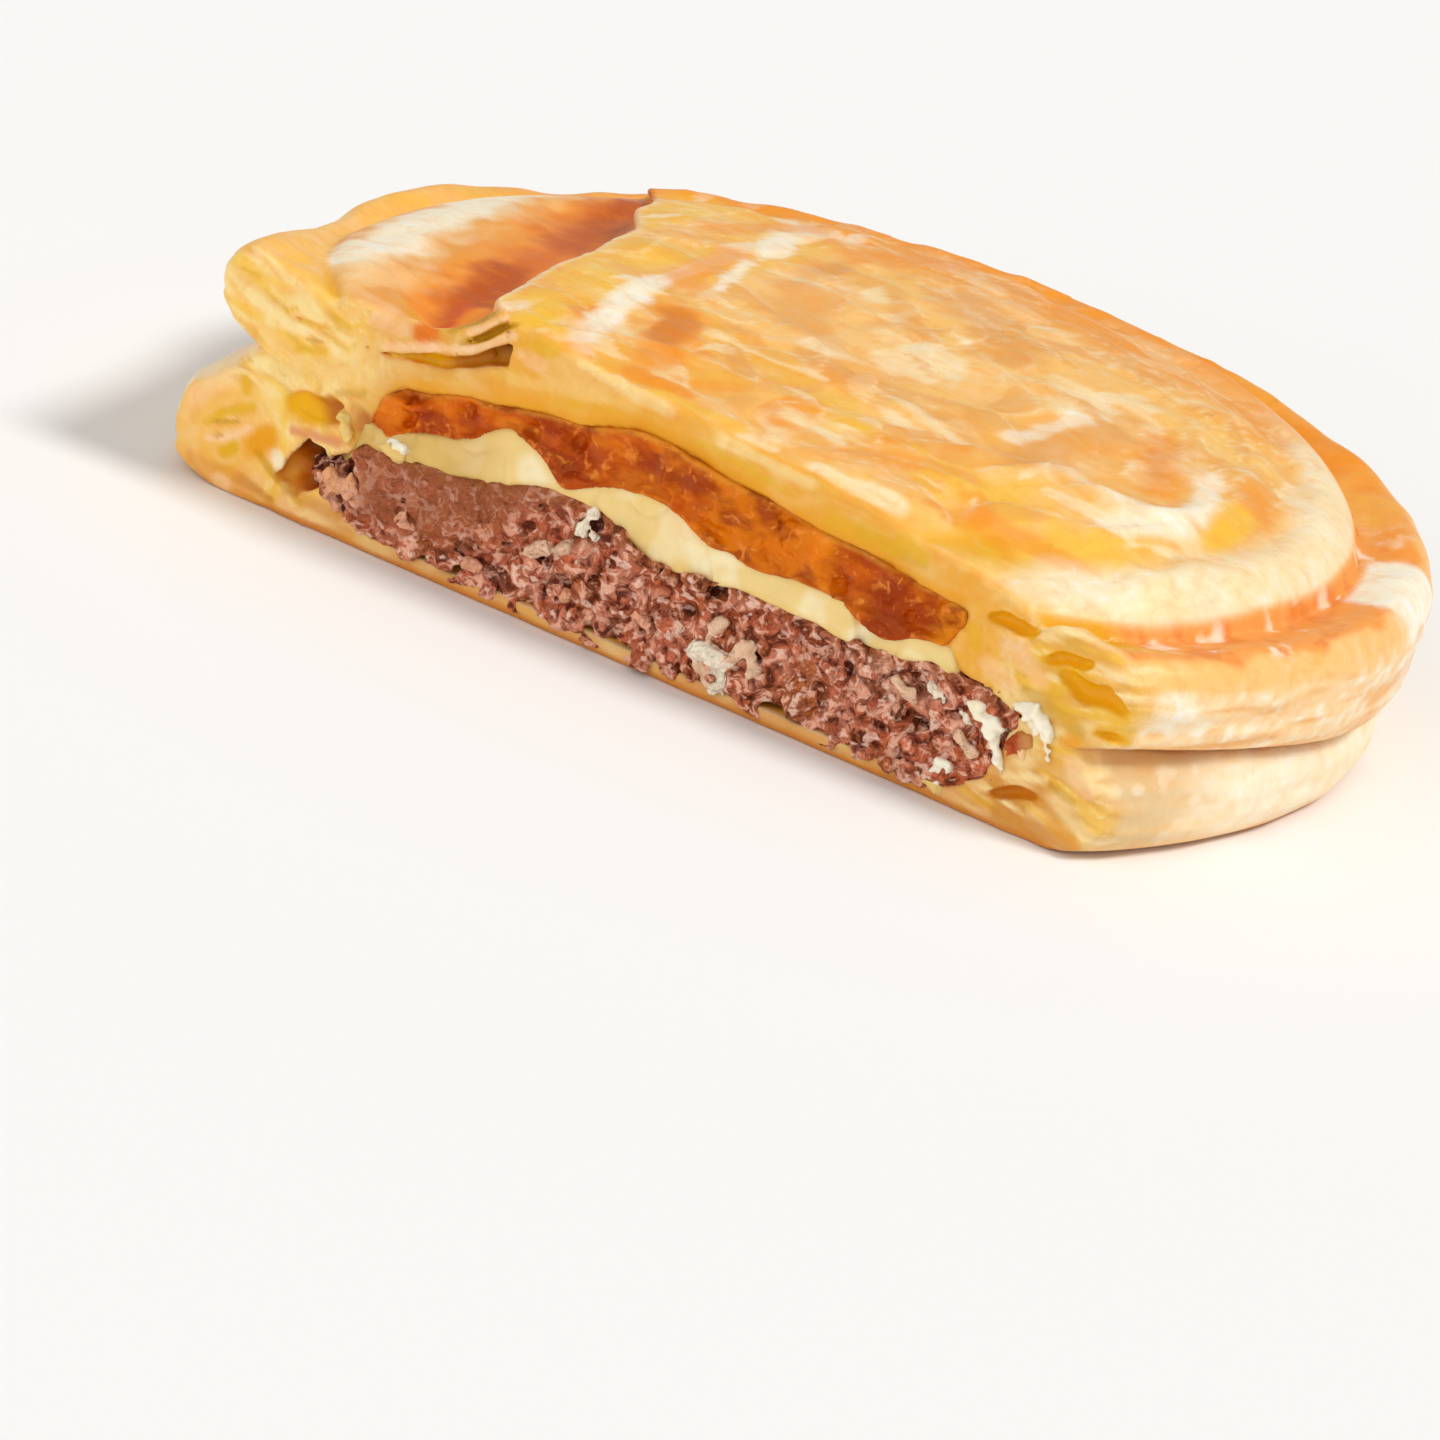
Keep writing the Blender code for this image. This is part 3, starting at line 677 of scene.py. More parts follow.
def relish_look():
    """Sticky relish: painted tints, painted shade in the hollows between lumps and painted light on their
    tops, small specks painted as glints, and a gloss like syrup.
    """
    look = Look("relish")
    mottle = look.noise(3.0, 3.0, 0.5, (0.7, 1.0, 1.3))
    fine = look.noise(1.1, 2.0, 0.5, distortion=0.5)
    color = look.painted("tint").outputs["Color"]
    # painted shade in the hollows of the relief, then painted light on its lumps, then painted glints
    color = look.mix(look.ramp(mottle, 0.50, 0.36, 0.0, 0.75), color, shade(146, 36, 0))
    color = look.mix(look.ramp(mottle, 0.54, 0.68, 0.0, 0.70), color, shade(236, 124, 10))
    color = look.mix(look.ramp(fine, 0.58, 0.72, 0.0, 0.60), color, shade(246, 150, 60))
    return look.finish(0.25, (1.0, 0.35, 0.08), 1.4, ((mottle, 1.2, 0.6), (fine, 0.35, 0.6)), {
        "Base Color": color,
        "Roughness": look.ramp(mottle, 0.3, 0.7, 0.12, 0.3),
        "Specular IOR Level": 0.45,
        "Specular Tint": (1.0, 0.60, 0.22, 1.0),
    })


def cheese_look():
    """Melted cheese: painted tints with a soft mottling, and a slight gloss."""
    look = Look("melted cheese")
    mottle = look.noise(3.2, 3.0, 0.5)
    color = look.painted("tint").outputs["Color"]
    color = look.mix(look.ramp(mottle, 0.48, 0.66, 0.0, 0.4), color, shade(236, 200, 116))
    return look.finish(0.3, (1.0, 0.75, 0.4), 1.6, ((mottle, 0.5, 0.3),), {
        "Base Color": color,
        "Roughness": look.ramp(mottle, 0.3, 0.7, 0.28, 0.42),
        "Specular Tint": (1.0, 0.9, 0.7, 1.0),
    })


# ---- relief ----------------------------------------------------------------------------------------------

def scatter_leaves(count, seed):
    """Thin baked sheets on the lid, over one another: place, angle, half sizes, lift and tone of each."""
    draw = np.random.default_rng(seed)
    leaves = []
    for _ in range(count):
        radius = 51.0 * math.sqrt(draw.random())
        azimuth = draw.uniform(-math.pi, math.pi)
        turned = azimuth + math.pi / 2 if radius > 24.0 else -0.5
        angle = turned + draw.normal(0.0, 0.5)
        length, width = draw.uniform(2.5, 8.0), draw.uniform(0.9, 2.8)
        lift, tone = draw.uniform(0.12, 0.42), draw.uniform(-1.0, 1.0)
        place = radius * math.cos(azimuth), radius * math.sin(azimuth)
        leaves.append((*place, angle, length, width, lift, tone))
    return leaves


LEAVES = scatter_leaves(210, 23)


def leaf_maps(x, y):
    """Height, tone and raised edge of the leaves at points of the lid."""
    height, tone, edge = (np.zeros(np.shape(x)) for _ in range(3))
    for leaf_x, leaf_y, angle, length, width, lift, own_tone in LEAVES:
        dx, dy = x - leaf_x, y - leaf_y
        near = np.abs(dx) + np.abs(dy) < 1.5 * length + width
        dx, dy = dx[near], dy[near]
        u = (dx * math.cos(angle) + dy * math.sin(angle)) / length
        v = (dy * math.cos(angle) - dx * math.sin(angle)) / width + 0.35 * np.sin(2.4 * u + leaf_x)
        apart = u * u + v * v
        body = smooth(apart, 1.0, 0.72)
        height[near] = np.maximum(height[near], lift * body * (0.65 + 0.35 * v))
        tone[near] = tone[near] * (1.0 - body) + own_tone * body
        ridge = np.exp(-((apart - 0.8) / 0.16) ** 2) * smooth(v, -0.1, 0.5)
        edge[near] = np.maximum(edge[near], ridge)
    return height, tone, edge


# ---- the lid ---------------------------------------------------------------------------------------------

# The flange's outline: radius and height of its top, then height and radius of its side
FLANGE_TOP = (
    (50.0, 16.0), (53.4, 18.6), (54.6, 19.5), (55.6, 19.7), (57.2, 20.3), (59.2, 20.8), (60.6, 20.5),
    (61.6, 19.4), (62.5, 17.6), (64.0, 13.0),
)
FLANGE_SIDE = (
    (10.0, 58.0), (11.2, 59.4), (11.8, 60.9), (12.9, 61.6), (14.2, 61.9), (15.6, 62.3), (17.6, 62.5),
    (19.4, 61.8), (20.8, 60.0), (22.0, 57.0),
)


def plateau_top(x, y):
    """Top of the lid inside its rim on the right of the fold: dome, lip, sag, dimple and flakes."""
    radius = np.hypot(x, y)
    inside = 1.0 - smooth(radius, PLATEAU_RADIUS - 6.0, PLATEAU_RADIUS)
    to_front = np.exp(-((y + CUT_OFFSET) / FRONT_REACH) ** 2)
    side = np.maximum(fold_side(x, y), 0.0)
    lip = LIP_LIFT * (0.25 + 0.75 * to_front) * np.exp(-(side / LIP_REACH) ** 2)
    sag_x, sag_reach, sag_depth = SAG
    sag = sag_depth * spot(x, y, (sag_x, -CUT_OFFSET), sag_reach)
    waves = 0.45 * grain(x * 0.6 + y * 0.4, y * 1.3, 3.0, 7.0) + 0.25 * grain(x, y, 9.0, 3.6)
    relief = leaf_maps(x, y)[0] + 0.35 * np.abs(grain(x, y * 0.7, 17.0, 6.0))
    calm = 0.15 + 0.85 * smooth(side, 0.5, 5.0)
    waves, relief = waves * calm, relief * calm
    dimple = 1.5 * spot(x, y, (33.5, -3.0), 4.6) - 0.9 * ring(x, y, (33.0, -4.0), 8.0, 1.8)
    roll = 0.7 * np.exp(-((radius - 50.0) / 2.0) ** 2)
    moat = 0.5 * np.exp(-((radius - 45.5) / 2.0) ** 2)
    lumps = (waves + relief) * (0.25 + 0.75 * inside)
    return dome_height(x, y) + lip * np.maximum(inside, 0.3) + lumps - sag - dimple + roll - moat


def ring(x, y, centre, radius, width):
    """1 on a circle round a point, fading over a width, on its right and front only."""
    apart = np.hypot(x - centre[0], y - centre[1])
    turn = np.degrees(np.arctan2(y - centre[1], x - centre[0]))
    return np.exp(-((apart - radius) / width) ** 2) * near_angle(turn, -35.0, 80.0)


def panel_top(x, y):
    """Floor of the sunken panel on the left of the fold."""
    flat = 1.0 - smooth(np.hypot(x, y), PANEL_RIM - 4.0, PANEL_RIM + 2.0)
    valley = np.exp(-((fold_side(x, y) + 4.5) / 8.0) ** 2)
    front = 1.0 - inward(y, 0.0, 16.0)
    drop = PANEL_DROP * (1.0 - 0.75 * smooth(y, 2.0, PANEL_BACK + 14.0))
    relief = 0.25 * grain(x * 1.6, y * 0.5, 3.0, 5.0) + 0.6 * leaf_maps(x, y)[0]
    curl = np.interp(x, *np.transpose(TORN_RISE)) * (1.0 - inward(y, 1.0, 4.6))
    curl = curl * smooth(fold_side(x, y), 1.0, -0.5)
    return dome_height(x, y) - 0.4 - flat * (drop * valley + 0.9 * front) + relief + curl


def rolled_edge(height, radius):
    """Rounds the top inside the rim off towards its edge, and ends it there, far below."""
    edge = PLATEAU_RADIUS + 0.7
    share = np.clip((radius - (edge - RIM_ROLL)) / RIM_ROLL, 0.0, 1.0)
    return height - RIM_ROLL * (1.0 - np.sqrt(1.0 - share ** 2)) - 30.0 * smooth(radius, edge, edge + 0.8)


def seam_gap(y):
    """Half the gap between the two sheets: near the cut they are baked into one."""
    return (GAP / 2 + 0.3) * inward(y, 4.0, 10.0) - 0.3


def lid_ceiling(x, y):
    """Underside of the lid: over the relish, down the wall of the filling, and out along the seam."""
    radius = np.hypot(x - FILLING_SHIFT, y)
    from_middle, azimuth = polar(x, y)
    over = relish_top(x, y) - TOUCH
    seam = SEAM_HEIGHT + seam_gap(y)
    wall = np.interp(radius, (RELISH_RADIUS, WALL_RADIUS - 0.6, WALL_RADIUS + 0.6), (1.0, 0.35, 0.0))
    outer = smooth(from_middle, WALL_RADIUS + 0.6, SEAM_RADIUS)
    corner = 4.4 * smooth(x, -31.4, -34.0) * behind_cut(y)
    corner = corner * smooth(radius, WALL_RADIUS + 1.0, WALL_RADIUS - 1.0)
    rise = SWELL_RISE * swell(azimuth) - seam_drop(azimuth)
    return seam + wall * (over - seam) - corner + outer * rise


def layer_levels(x, z):
    """Numbers the dough's layers on the cut face: points of one layer have the same level."""
    top, bottom = dome_height(x, -CUT_OFFSET), lid_ceiling(x, -CUT_OFFSET)
    band = (z - bottom) / np.maximum(top - bottom, 2.0) * 7.0
    left_flange = z + 0.25 * (x + 44.0)
    right_flange = 1.1 * z - 0.10 * (x - 44.0)
    swirl_x, swirl_z = SWIRL
    bulge = 0.85 * np.hypot(x - swirl_x - 1.5, (z - swirl_z) * 0.9)
    bulge = bulge + 0.35 * np.degrees(np.arctan2(z - swirl_z, x - swirl_x)) / 90.0
    floor = 1.1 * z + 0.004 * x * x
    left, right, in_bulge = smooth(x, -31.0, -37.0), smooth(x, 33.0, 40.0), smooth(x, -36.0, -43.0)
    upper = band * (1.0 - left) * (1.0 - right) + left_flange * left + right_flange * right
    lower = floor * (1.0 - in_bulge) + bulge * in_bulge
    split = np.where(x < 0.0, smooth(z, 12.5, 16.0), smooth(z, 8.0, 12.0))
    return lower * (1.0 - split) + upper * split


def cut_lines(x, z):
    """Relief of the layers on the cut face: broad streaks and thin ones, each from -1 to 1."""
    level = layer_levels(x, z)
    warp = 0.6 * grain(x, 3.0, z, 7.0) + 0.25 * grain(x, 8.0, z, 2.6)
    streak = grain(x * 0.13, 50.0, level * 0.75 + warp, 1.0)
    thin = grain(x * 0.22, 70.0, level * 1.5 + 1.6 * warp, 1.0)
    return 1.4 * streak, 1.4 * thin


def cut_face(lines):
    """The solid behind the cut, as a field: the cut face has a fine relief of layers, bolder at its ends."""
    xs, ys, zs = lines
    x, z = np.meshgrid(xs, zs, indexing="ij")
    streak, thin = cut_lines(x, z)
    ends = smooth(np.abs(x + 1.0), 28.0, 40.0)
    relief = (0.06 + 0.20 * ends) * streak + (0.03 + 0.13 * ends) * thin + 0.25 * grain(x, 5.0, z, 5.0)
    return relief[:, None, :] - CUT_OFFSET - ys[None, :, None]


# Single marks on the cut dough as in the photograph: tint, share, start and end (x, z), and half width
CUT_MARKS = (
    (MARK_GOLD, 0.85, (-50.2, 6.2), (-48.6, 7.9), 0.55), (MARK_GOLD, 0.85, (-48.6, 7.9), (-45.6, 9.6), 0.62),
    (OLIVE, 0.70, (-49.4, 6.6), (-46.8, 7.6), 0.34), (SHEET_PINK, 0.85, (-49.8, 4.6), (-47.6, 5.7), 0.42),
    (SHEET_PINK, 0.80, (-47.6, 5.7), (-45.4, 7.4), 0.42), (OLIVE, 0.75, (-49.0, 5.2), (-48.4, 5.5), 0.26),
    (MARK_GOLD, 0.95, (-47.8, 4.0), (-46.8, 4.8), 0.60), (MARK_GOLD, 0.85, (-48.0, 1.9), (-46.4, 2.1), 0.42),
    (MARK_ORANGE, 0.95, (-44.4, 6.0), (-43.2, 7.4), 1.15),
    (WHITE_CREAM, 0.70, (-41.9, 5.8), (-41.0, 4.2), 0.55), (OLIVE, 0.65, (-43.8, 5.2), (-41.2, 3.2), 0.40),
    (CUT_TAN, 0.85, (-45.4, 1.9), (-41.4, 1.2), 0.50), (MARK_GOLD, 0.80, (-47.0, 12.0), (-46.6, 11.0), 0.50),
    (CUT_PALE, 0.60, (-46.0, 14.0), (-42.0, 14.6), 0.80),
    (shade(226, 152, 104), 0.90, (-40.6, 9.0), (-35.6, 9.7), 0.50),
    (OLIVE, 0.55, (-37.0, 14.4), (-34.0, 15.4), 0.40), (MARK_GOLD, 0.75, (-42.6, 20.0), (-39.0, 20.5), 0.34),
    (MARK_GOLD, 0.70, (-44.4, 20.2), (-43.4, 21.0), 0.30),
    (MARK_GOLD, 0.75, (-42.4, 17.0), (-39.6, 18.0), 0.45), (OLIVE, 0.60, (-41.2, 18.4), (-39.8, 18.8), 0.20),
    (MARK_GOLD, 0.60, (-39.0, 21.6), (-38.2, 20.4), 0.34),
    (CUT_PALE, 0.70, (-46.0, 18.8), (-42.0, 19.2), 0.55),
    (BAKED_ORANGE, 0.90, (-29.4, 23.7), (-28.8, 23.9), 0.90),
    (SHEET_PINK, 0.80, (-33.0, 20.9), (-28.0, 22.6), 0.42),
    (SHEET_PINK, 0.85, (-28.0, 22.6), (-24.0, 24.0), 0.42),
    (SHEET_PINK, 0.85, (-24.0, 24.0), (-20.0, 26.9), 0.42),
    (SHEET_PINK, 0.80, (-24.4, 25.6), (-20.6, 28.6), 0.45),
    (SHEET_PINK, 0.60, (-34.4, 23.2), (-31.6, 23.4), 0.90),
    (SHEET_PINK, 0.55, (-18.4, 25.6), (-16.4, 25.2), 0.90),
    (MARK_GOLD, 0.65, (-17.0, 27.0), (-15.4, 27.2), 0.80),
    (MARK_GOLD, 0.50, (-18.6, 26.4), (-18.0, 26.2), 0.60), (OLIVE, 0.45, (-28.0, 25.6), (-26.4, 25.0), 0.40),
    (CUT_BEIGE, 0.60, (-19.0, 22.8), (-6.0, 25.2), 0.70),
    (MARK_GOLD, 0.50, (-14.0, 22.4), (-7.0, 24.0), 0.50),
    (CUT_PALE, 0.50, (-12.0, 27.0), (-2.0, 26.0), 0.60), (CUT_PALE, 0.50, (4.0, 25.2), (14.0, 24.8), 0.60),
    (MARK_GOLD, 0.55, (2.0, 24.2), (12.0, 23.2), 0.50), (OLIVE, 0.35, (20.0, 22.2), (27.0, 21.6), 0.60),
    (MARK_ORANGE, 0.50, (30.0, 22.2), (33.6, 21.4), 0.80),
    (MARK_GOLD, 0.60, (33.4, 17.8), (34.4, 16.4), 0.70), (OLIVE, 0.50, (40.2, 14.0), (46.4, 12.4), 0.60),
    (MARK_ORANGE, 0.75, (45.0, 10.9), (46.4, 11.2), 0.50), (OLIVE, 0.45, (45.2, 6.2), (47.8, 5.6), 0.45),
    (MARK_GOLD, 0.45, (43.0, 15.0), (45.0, 13.4), 0.70), (SHEET_PINK, 0.55, (47.0, 9.0), (49.0, 7.0), 0.90),
    (SHEET_PINK, 0.50, (38.0, 17.4), (41.0, 15.6), 1.10),
    (SHEET_PINK, 0.45, (36.0, 15.0), (38.6, 14.0), 0.80), (CUT_PALE, 0.60, (40.6, 5.4), (44.6, 6.6), 0.35),
    (CUT_TAN, 0.80, (41.0, 1.6), (48.6, 1.4), 0.90), (MARK_ORANGE, 0.40, (46.4, 2.6), (49.2, 1.8), 0.60),
    (TAN, 0.60, (-51.0, 2.2), (-44.0, 0.8), 1.00), (CUT_PINK, 0.70, (-47.6, 1.0), (-46.8, 0.8), 0.60),
    (CUT_PINK, 0.60, (-52.0, 8.4), (-49.0, 12.0), 0.90),
    (CUT_BEIGE, 0.60, (-44.0, 14.6), (-36.0, 16.8), 1.10),
    (HOLLOW_BROWN, 0.90, (-33.4, 13.0), (-32.2, 10.6), 0.85),
    (CUT_TAN, 0.60, (-34.6, 13.6), (-33.4, 12.0), 0.80), (CUT_TAN, 0.55, (-40.0, 3.0), (-34.0, 2.4), 0.70),
    (OLIVE, 0.35, (-41.6, 3.6), (-38.0, 2.2), 0.30), (MARK_GOLD, 0.45, (48.6, 13.0), (54.0, 13.6), 0.60),
    (OLIVE, 0.40, (49.4, 12.4), (53.0, 12.8), 0.40), (MARK_GOLD, 0.80, (24.4, 23.0), (26.6, 22.2), 0.85),
    (MARK_GOLD, 0.55, (17.0, 22.4), (24.0, 22.0), 0.80),
)


def cut_color(x, z):
    """Tints of the cut dough: beige between pale, yellow and olive streaks, then its single marks."""
    streak, thin = cut_lines(x, z)
    patches = grain(x, 9.0, z, 6.0) + 0.5 * grain(x, 12.0, z * 1.6, 2.4)
    left, right = smooth(x, -30.0, -40.0), smooth(x, 34.0, 41.0)
    ends = np.maximum(left, right)
    lower = smooth(z, 4.5, 2.0)
    over_relish = z - relish_top(x, -CUT_OFFSET) + 0.5 * patches
    fringe = smooth(over_relish, 2.2, 0.2) * smooth(over_relish, -1.5, -0.5) * smooth(x, 34.0, 32.0)
    fringe = fringe * smooth(x, -33.5, -31.0)
    tint = tinted(
        CUT_BAND,
        (CUT_LEFT, left),
        (CUT_RIGHT, right),
        (shade(226, 168, 78), 0.8 * smooth(x, -17.0, -25.0) * smooth(x, -37.0, -32.0)),
        (CUT_TAN, 0.85 * right * smooth(z, 10.0, 5.0)),
        (CUT_TAN, 0.45 * left * smooth(z, 4.0, 1.5)),
        (shade(224, 168, 102), 0.85 * lower * (1.0 - ends)),
        (CUT_PALE, (0.25 + 0.35 * ends) * smooth(patches, -0.05, 0.45)),
        (CUT_PINK, 0.5 * ends * smooth(patches, -0.15, -0.5)),
        (CUT_YELLOW, (0.15 + 0.42 * left + 0.35 * right) * smooth(streak, 0.10, 0.42)),
        (CUT_PALE, 0.6 * ends * smooth(streak, -0.2, -0.55)),
        (LINE_OLIVE, (0.05 + 0.32 * left + 0.25 * right) * smooth(thin, 0.30, 0.62)),
        (CUT_PALE, (0.10 + 0.45 * ends) * smooth(thin, -0.30, -0.62)),
        (MARK_ORANGE, 0.75 * fringe),
        (CRUST_UNDER, smooth(z + 0.25 * patches, 0.95, 0.35)),
        (BULGE_GOLD, 0.6 * left * smooth(z, 12.0, 9.0) * smooth(x, -41.0, -46.0)),
    )
    return marked(tint, CUT_MARKS, x, z)


def cut_facing(normals, y):
    """1 on faces that look out of the cut, 0 elsewhere."""
    return smooth(-normals[:, 1], 0.12, 0.75) * inward(y, 3.0, 1.4)


def vertex_normals(piece):
    normals = np.empty(len(piece.data.vertices) * 3, np.float32)
    piece.data.vertex_normals.foreach_get("vector", normals)
    return normals.reshape(-1, 3)


def slit(x, y, z, place_x, place_z, half_length, half_height, depth, tilt):
    """A flat opening in the cut, as a field."""
    slope = math.radians(tilt)
    dx, dz = x - place_x, z - place_z
    along_slit = dx * math.cos(slope) + dz * math.sin(slope)
    across = dz * math.cos(slope) - dx * math.sin(slope)
    across = across + 0.25 * half_height * np.sin(along_slit * 1.3 + place_x)
    inwards = (y + CUT_OFFSET) / depth
    apart = np.sqrt((along_slit / half_length) ** 2 + (across / half_height) ** 2 + inwards ** 2)
    return (apart - 1.0) * min(half_height, depth)


# Openings between baked layers at the cut: x, z, half length, half height, depth, tilt in degrees
LID_SLITS = (
    (-22.3, 26.3, 3.3, 0.42, 1.5, 39), (-24.4, 27.0, 2.8, 0.50, 1.3, 40), (37.2, 19.6, 2.8, 0.75, 1.3, 3),
    (43.6, 18.4, 2.7, 0.75, 1.3, 18), (46.7, 16.3, 3.9, 1.15, 1.6, -6), (51.3, 12.6, 3.4, 0.6, 1.6, -4),
)
BASE_SLITS = ((41.8, 3.9, 2.6, 0.65, 1.3, 17), (36.9, 4.0, 1.6, 0.60, 1.5, 22))
# How far behind the cut the openings reach, and the filling's relief
OPENINGS_REACH = 10.0
RELIEF_REACH = 2.8


def wedge(x, y, z):
    """The gap that opens towards the lip between the lid's front band and its torn sheets, as a field."""
    places, lows, highs = np.transpose(WEDGE)
    below = np.interp(x, places, lows) - z
    above = z - np.interp(x, places, highs)
    behind = y + CUT_OFFSET - (0.9 + 1.9 * smooth(x, -29.0, -21.0))
    gap = np.maximum(np.maximum(below, above), np.maximum(x - places[-1], behind))
    return gap + 0.2 * ripple(x, y, z + 40.0, 1.3)


def hollow(x, y, z):
    """The two hollows beside the patty's left end, as a field: a deep one below a shallow one."""
    fields = []
    for centre_x, centre_z, half_width, half_height, depth in HOLLOWS:
        across = (x - centre_x - 0.2 * (z - centre_z)) / half_width
        upward = (z - centre_z - 0.15 * (x - centre_x)) / half_height
        apart = (np.abs(across) ** 3 + np.abs(upward) ** 3) ** (1.0 / 3.0)
        shallow = 0.40 + 0.60 * smooth(upward, -1.0, 0.3)
        apart = np.sqrt(apart ** 2 + ((y + CUT_OFFSET) / (depth * shallow)) ** 2)
        apart = apart + 0.30 * ripple(x, y, z, 1.3)
        fields.append((apart - 1.0) * min(half_width, half_height, depth))
    return join(*fields, 0.5)


def lid_inside(x, y, z3):
    """The lid inside its rim, as a field: the plateau with its lip over the sunken panel."""
    radius = np.hypot(x, y) + 0.5 * grain(x, y, 71.0, 11.0)
    plateau, panel = (rolled_edge(top(x, y), radius) for top in (plateau_top, panel_top))
    side = fold_side(x, y) + 0.12 * grain(0.0 * x, y, 2.0, 5.0)
    lift = np.clip((z3 - panel[..., None]) / np.maximum(plateau - panel, 0.4)[..., None], 0.0, 1.2)
    nose = 0.7 - 1.2 * smooth(lift, 0.1, 0.75)
    return np.minimum(meet(z3 - plateau[..., None], nose - side[..., None], 0.25), z3 - panel[..., None])


def flange_reach(radius):
    """0 at the rim, 1 on the outer part of the flange."""
    return smooth(radius, PLATEAU_RADIUS, FLANGE_RADIUS - 3.0)


def flange_bulge(x, y, azimuth):
    """How far the rolled flange bulges out from its round outline."""
    wave = 0.55 * grain(x, y, 0.0, 9.0) + 0.3 * grain(x, y, 20.0, 4.5)
    bulge = wave + CORNER_BULGE * near_angle(azimuth, LEFT_END, CORNER_WIDTH)
    return bulge - PINCH_DEPTH * near_angle(azimuth, PINCH_ANGLE, PINCH_WIDTH)


def flange_crest(x, y, bulge):
    """Height of the rolled flange."""
    radius, azimuth = polar(x, y)
    outer = flange_reach(radius)
    rise = 0.7 * grain(x, y, 40.0, 8.0) - DIP_DEPTH * near_angle(azimuth, DIP_ANGLE, DIP_WIDTH)
    crest = rounded(FLANGE_TOP, radius - outer * bulge, 0.5) + SWELL_RISE * swell(azimuth)
    crest = crest + outer * rise + 0.3 * grain(x, y, 90.0, 3.0)
    at_right_end = 1.7 * smooth(azimuth, -35.0, -39.0) * smooth(x, 0.0, 10.0)
    return crest + at_right_end * np.exp(-((radius - 55.4) / 2.2) ** 2)


def flange_side(x, y, z3, bulge):
    """The flange's outer side with the ends of the dough's sheets, as a field."""
    radius, azimuth = polar(x, y)
    side = np.full((*x.shape, z3.size), -9.0, np.float32)
    outside = radius > 55.0
    radius, azimuth, y, bulge = (values[outside][:, None] for values in (radius, azimuth, y, bulge))
    level = z3[0] - SWELL_RISE * swell(azimuth)
    low = 1.0 - smooth(level, SEAM_HEIGHT + 0.5, 15.0)
    hang = 1.0 - smooth(level, SEAM_HEIGHT - 3.0, FLANGE_HEIGHT - 2.0)
    level = level + seam_drop(azimuth) * flange_reach(radius) * hang
    push = (1.0 - low) * bulge - low * waist_depth(azimuth, y)
    sheet = ripple(azimuth * 0.10, level * 1.5 + 0.02 * azimuth, 3.0, 1.0)
    ragged = ripple(azimuth * 0.5, level * 2.2, 9.0, 1.0)
    layered = (0.34 * sheet + 0.14 * ragged) * smooth(level, 19.5, 17.0)
    side[outside] = radius - rounded(FLANGE_SIDE, level, 0.4) - push + layered
    return side


def relish_plug(x, y, z):
    """The dough between the relish's right end and the rest of the lid, as a field."""
    across = np.maximum(-past_relish(x, z), x - 38.0)
    upward = np.maximum(patty_top(x, y) - 0.1 - z, z - 20.0)
    return np.maximum(np.maximum(across, upward), y + CUT_OFFSET - 3.0)


def make_lid(look):
    """The lid: the flange joined to what is inside it, then cut, hollowed out below and opened at the cut."""
    lines = (
        grid((-64.6, 65.2, 0.49)),
        grid((-39.2, -31.0, 0.36), (-31.0, -10.0, 0.62), (-10.0, 65.0, 1.15)),
        grid((6.4, 31.6, 0.38)),
    )
    x, y, x3, y3, z3 = space(*lines)
    bulge = flange_bulge(x, y, polar(x, y)[1])
    crest = flange_crest(x, y, bulge)
    filled = np.maximum(smooth(y, 8.0, 26.0), smooth(y, -24.0, -8.0) * smooth(x, 0.0, -20.0))
    field = join(lid_inside(x, y, z3), z3 - crest[..., None], (0.5 + 1.3 * filled)[..., None])
    field = meet(field, flange_side(x, y, z3, bulge), 0.8)
    cut = cut_face(lines)
    field = meet(field, cut, 0.9)
    field = meet(field, lid_ceiling(x, y)[..., None] - z3, 0.2)

    # at the cut: the dough beside the relish, then the openings
    near = near_cut(lines, x3, y3, z3, OPENINGS_REACH)
    plug = relish_plug(*near)
    front = plug.shape[1]
    field[:, :front] = join(field[:, :front], meet(plug, cut[:, :front], 0.3), 0.3)
    for opening in LID_SLITS:
        carve(field, slit(*near, *opening))
    carve(field, wedge(*near), 0.2)
    carve(field, hollow(*near))

    # the skin has to close before the grid's end
    for axis in range(3):
        outermost = np.moveaxis(field, axis, 0)[[0, -1]]
        np.moveaxis(field, axis, 0)[[0, -1]] = np.maximum(outermost, 0.2)
    lid, vertices = skinned("pastry_lid", field, lines, look, "lid_pastry", "lid_crust", even=True)
    paint(lid, "tint", lid_color(*vertices.T, vertex_normals(lid)))


def blotch(x, y, seed, size):
    """Ragged patches, from -1 to 1."""
    across = x + 0.5 * size * ripple(x, y, seed + 31.0, 0.9 * size)
    back = y + 0.5 * size * ripple(x, y, seed + 57.0, 0.9 * size)
    return ripple(across, back, seed, size) + 0.45 * ripple(across, back, seed + 7.0, 0.4 * size)


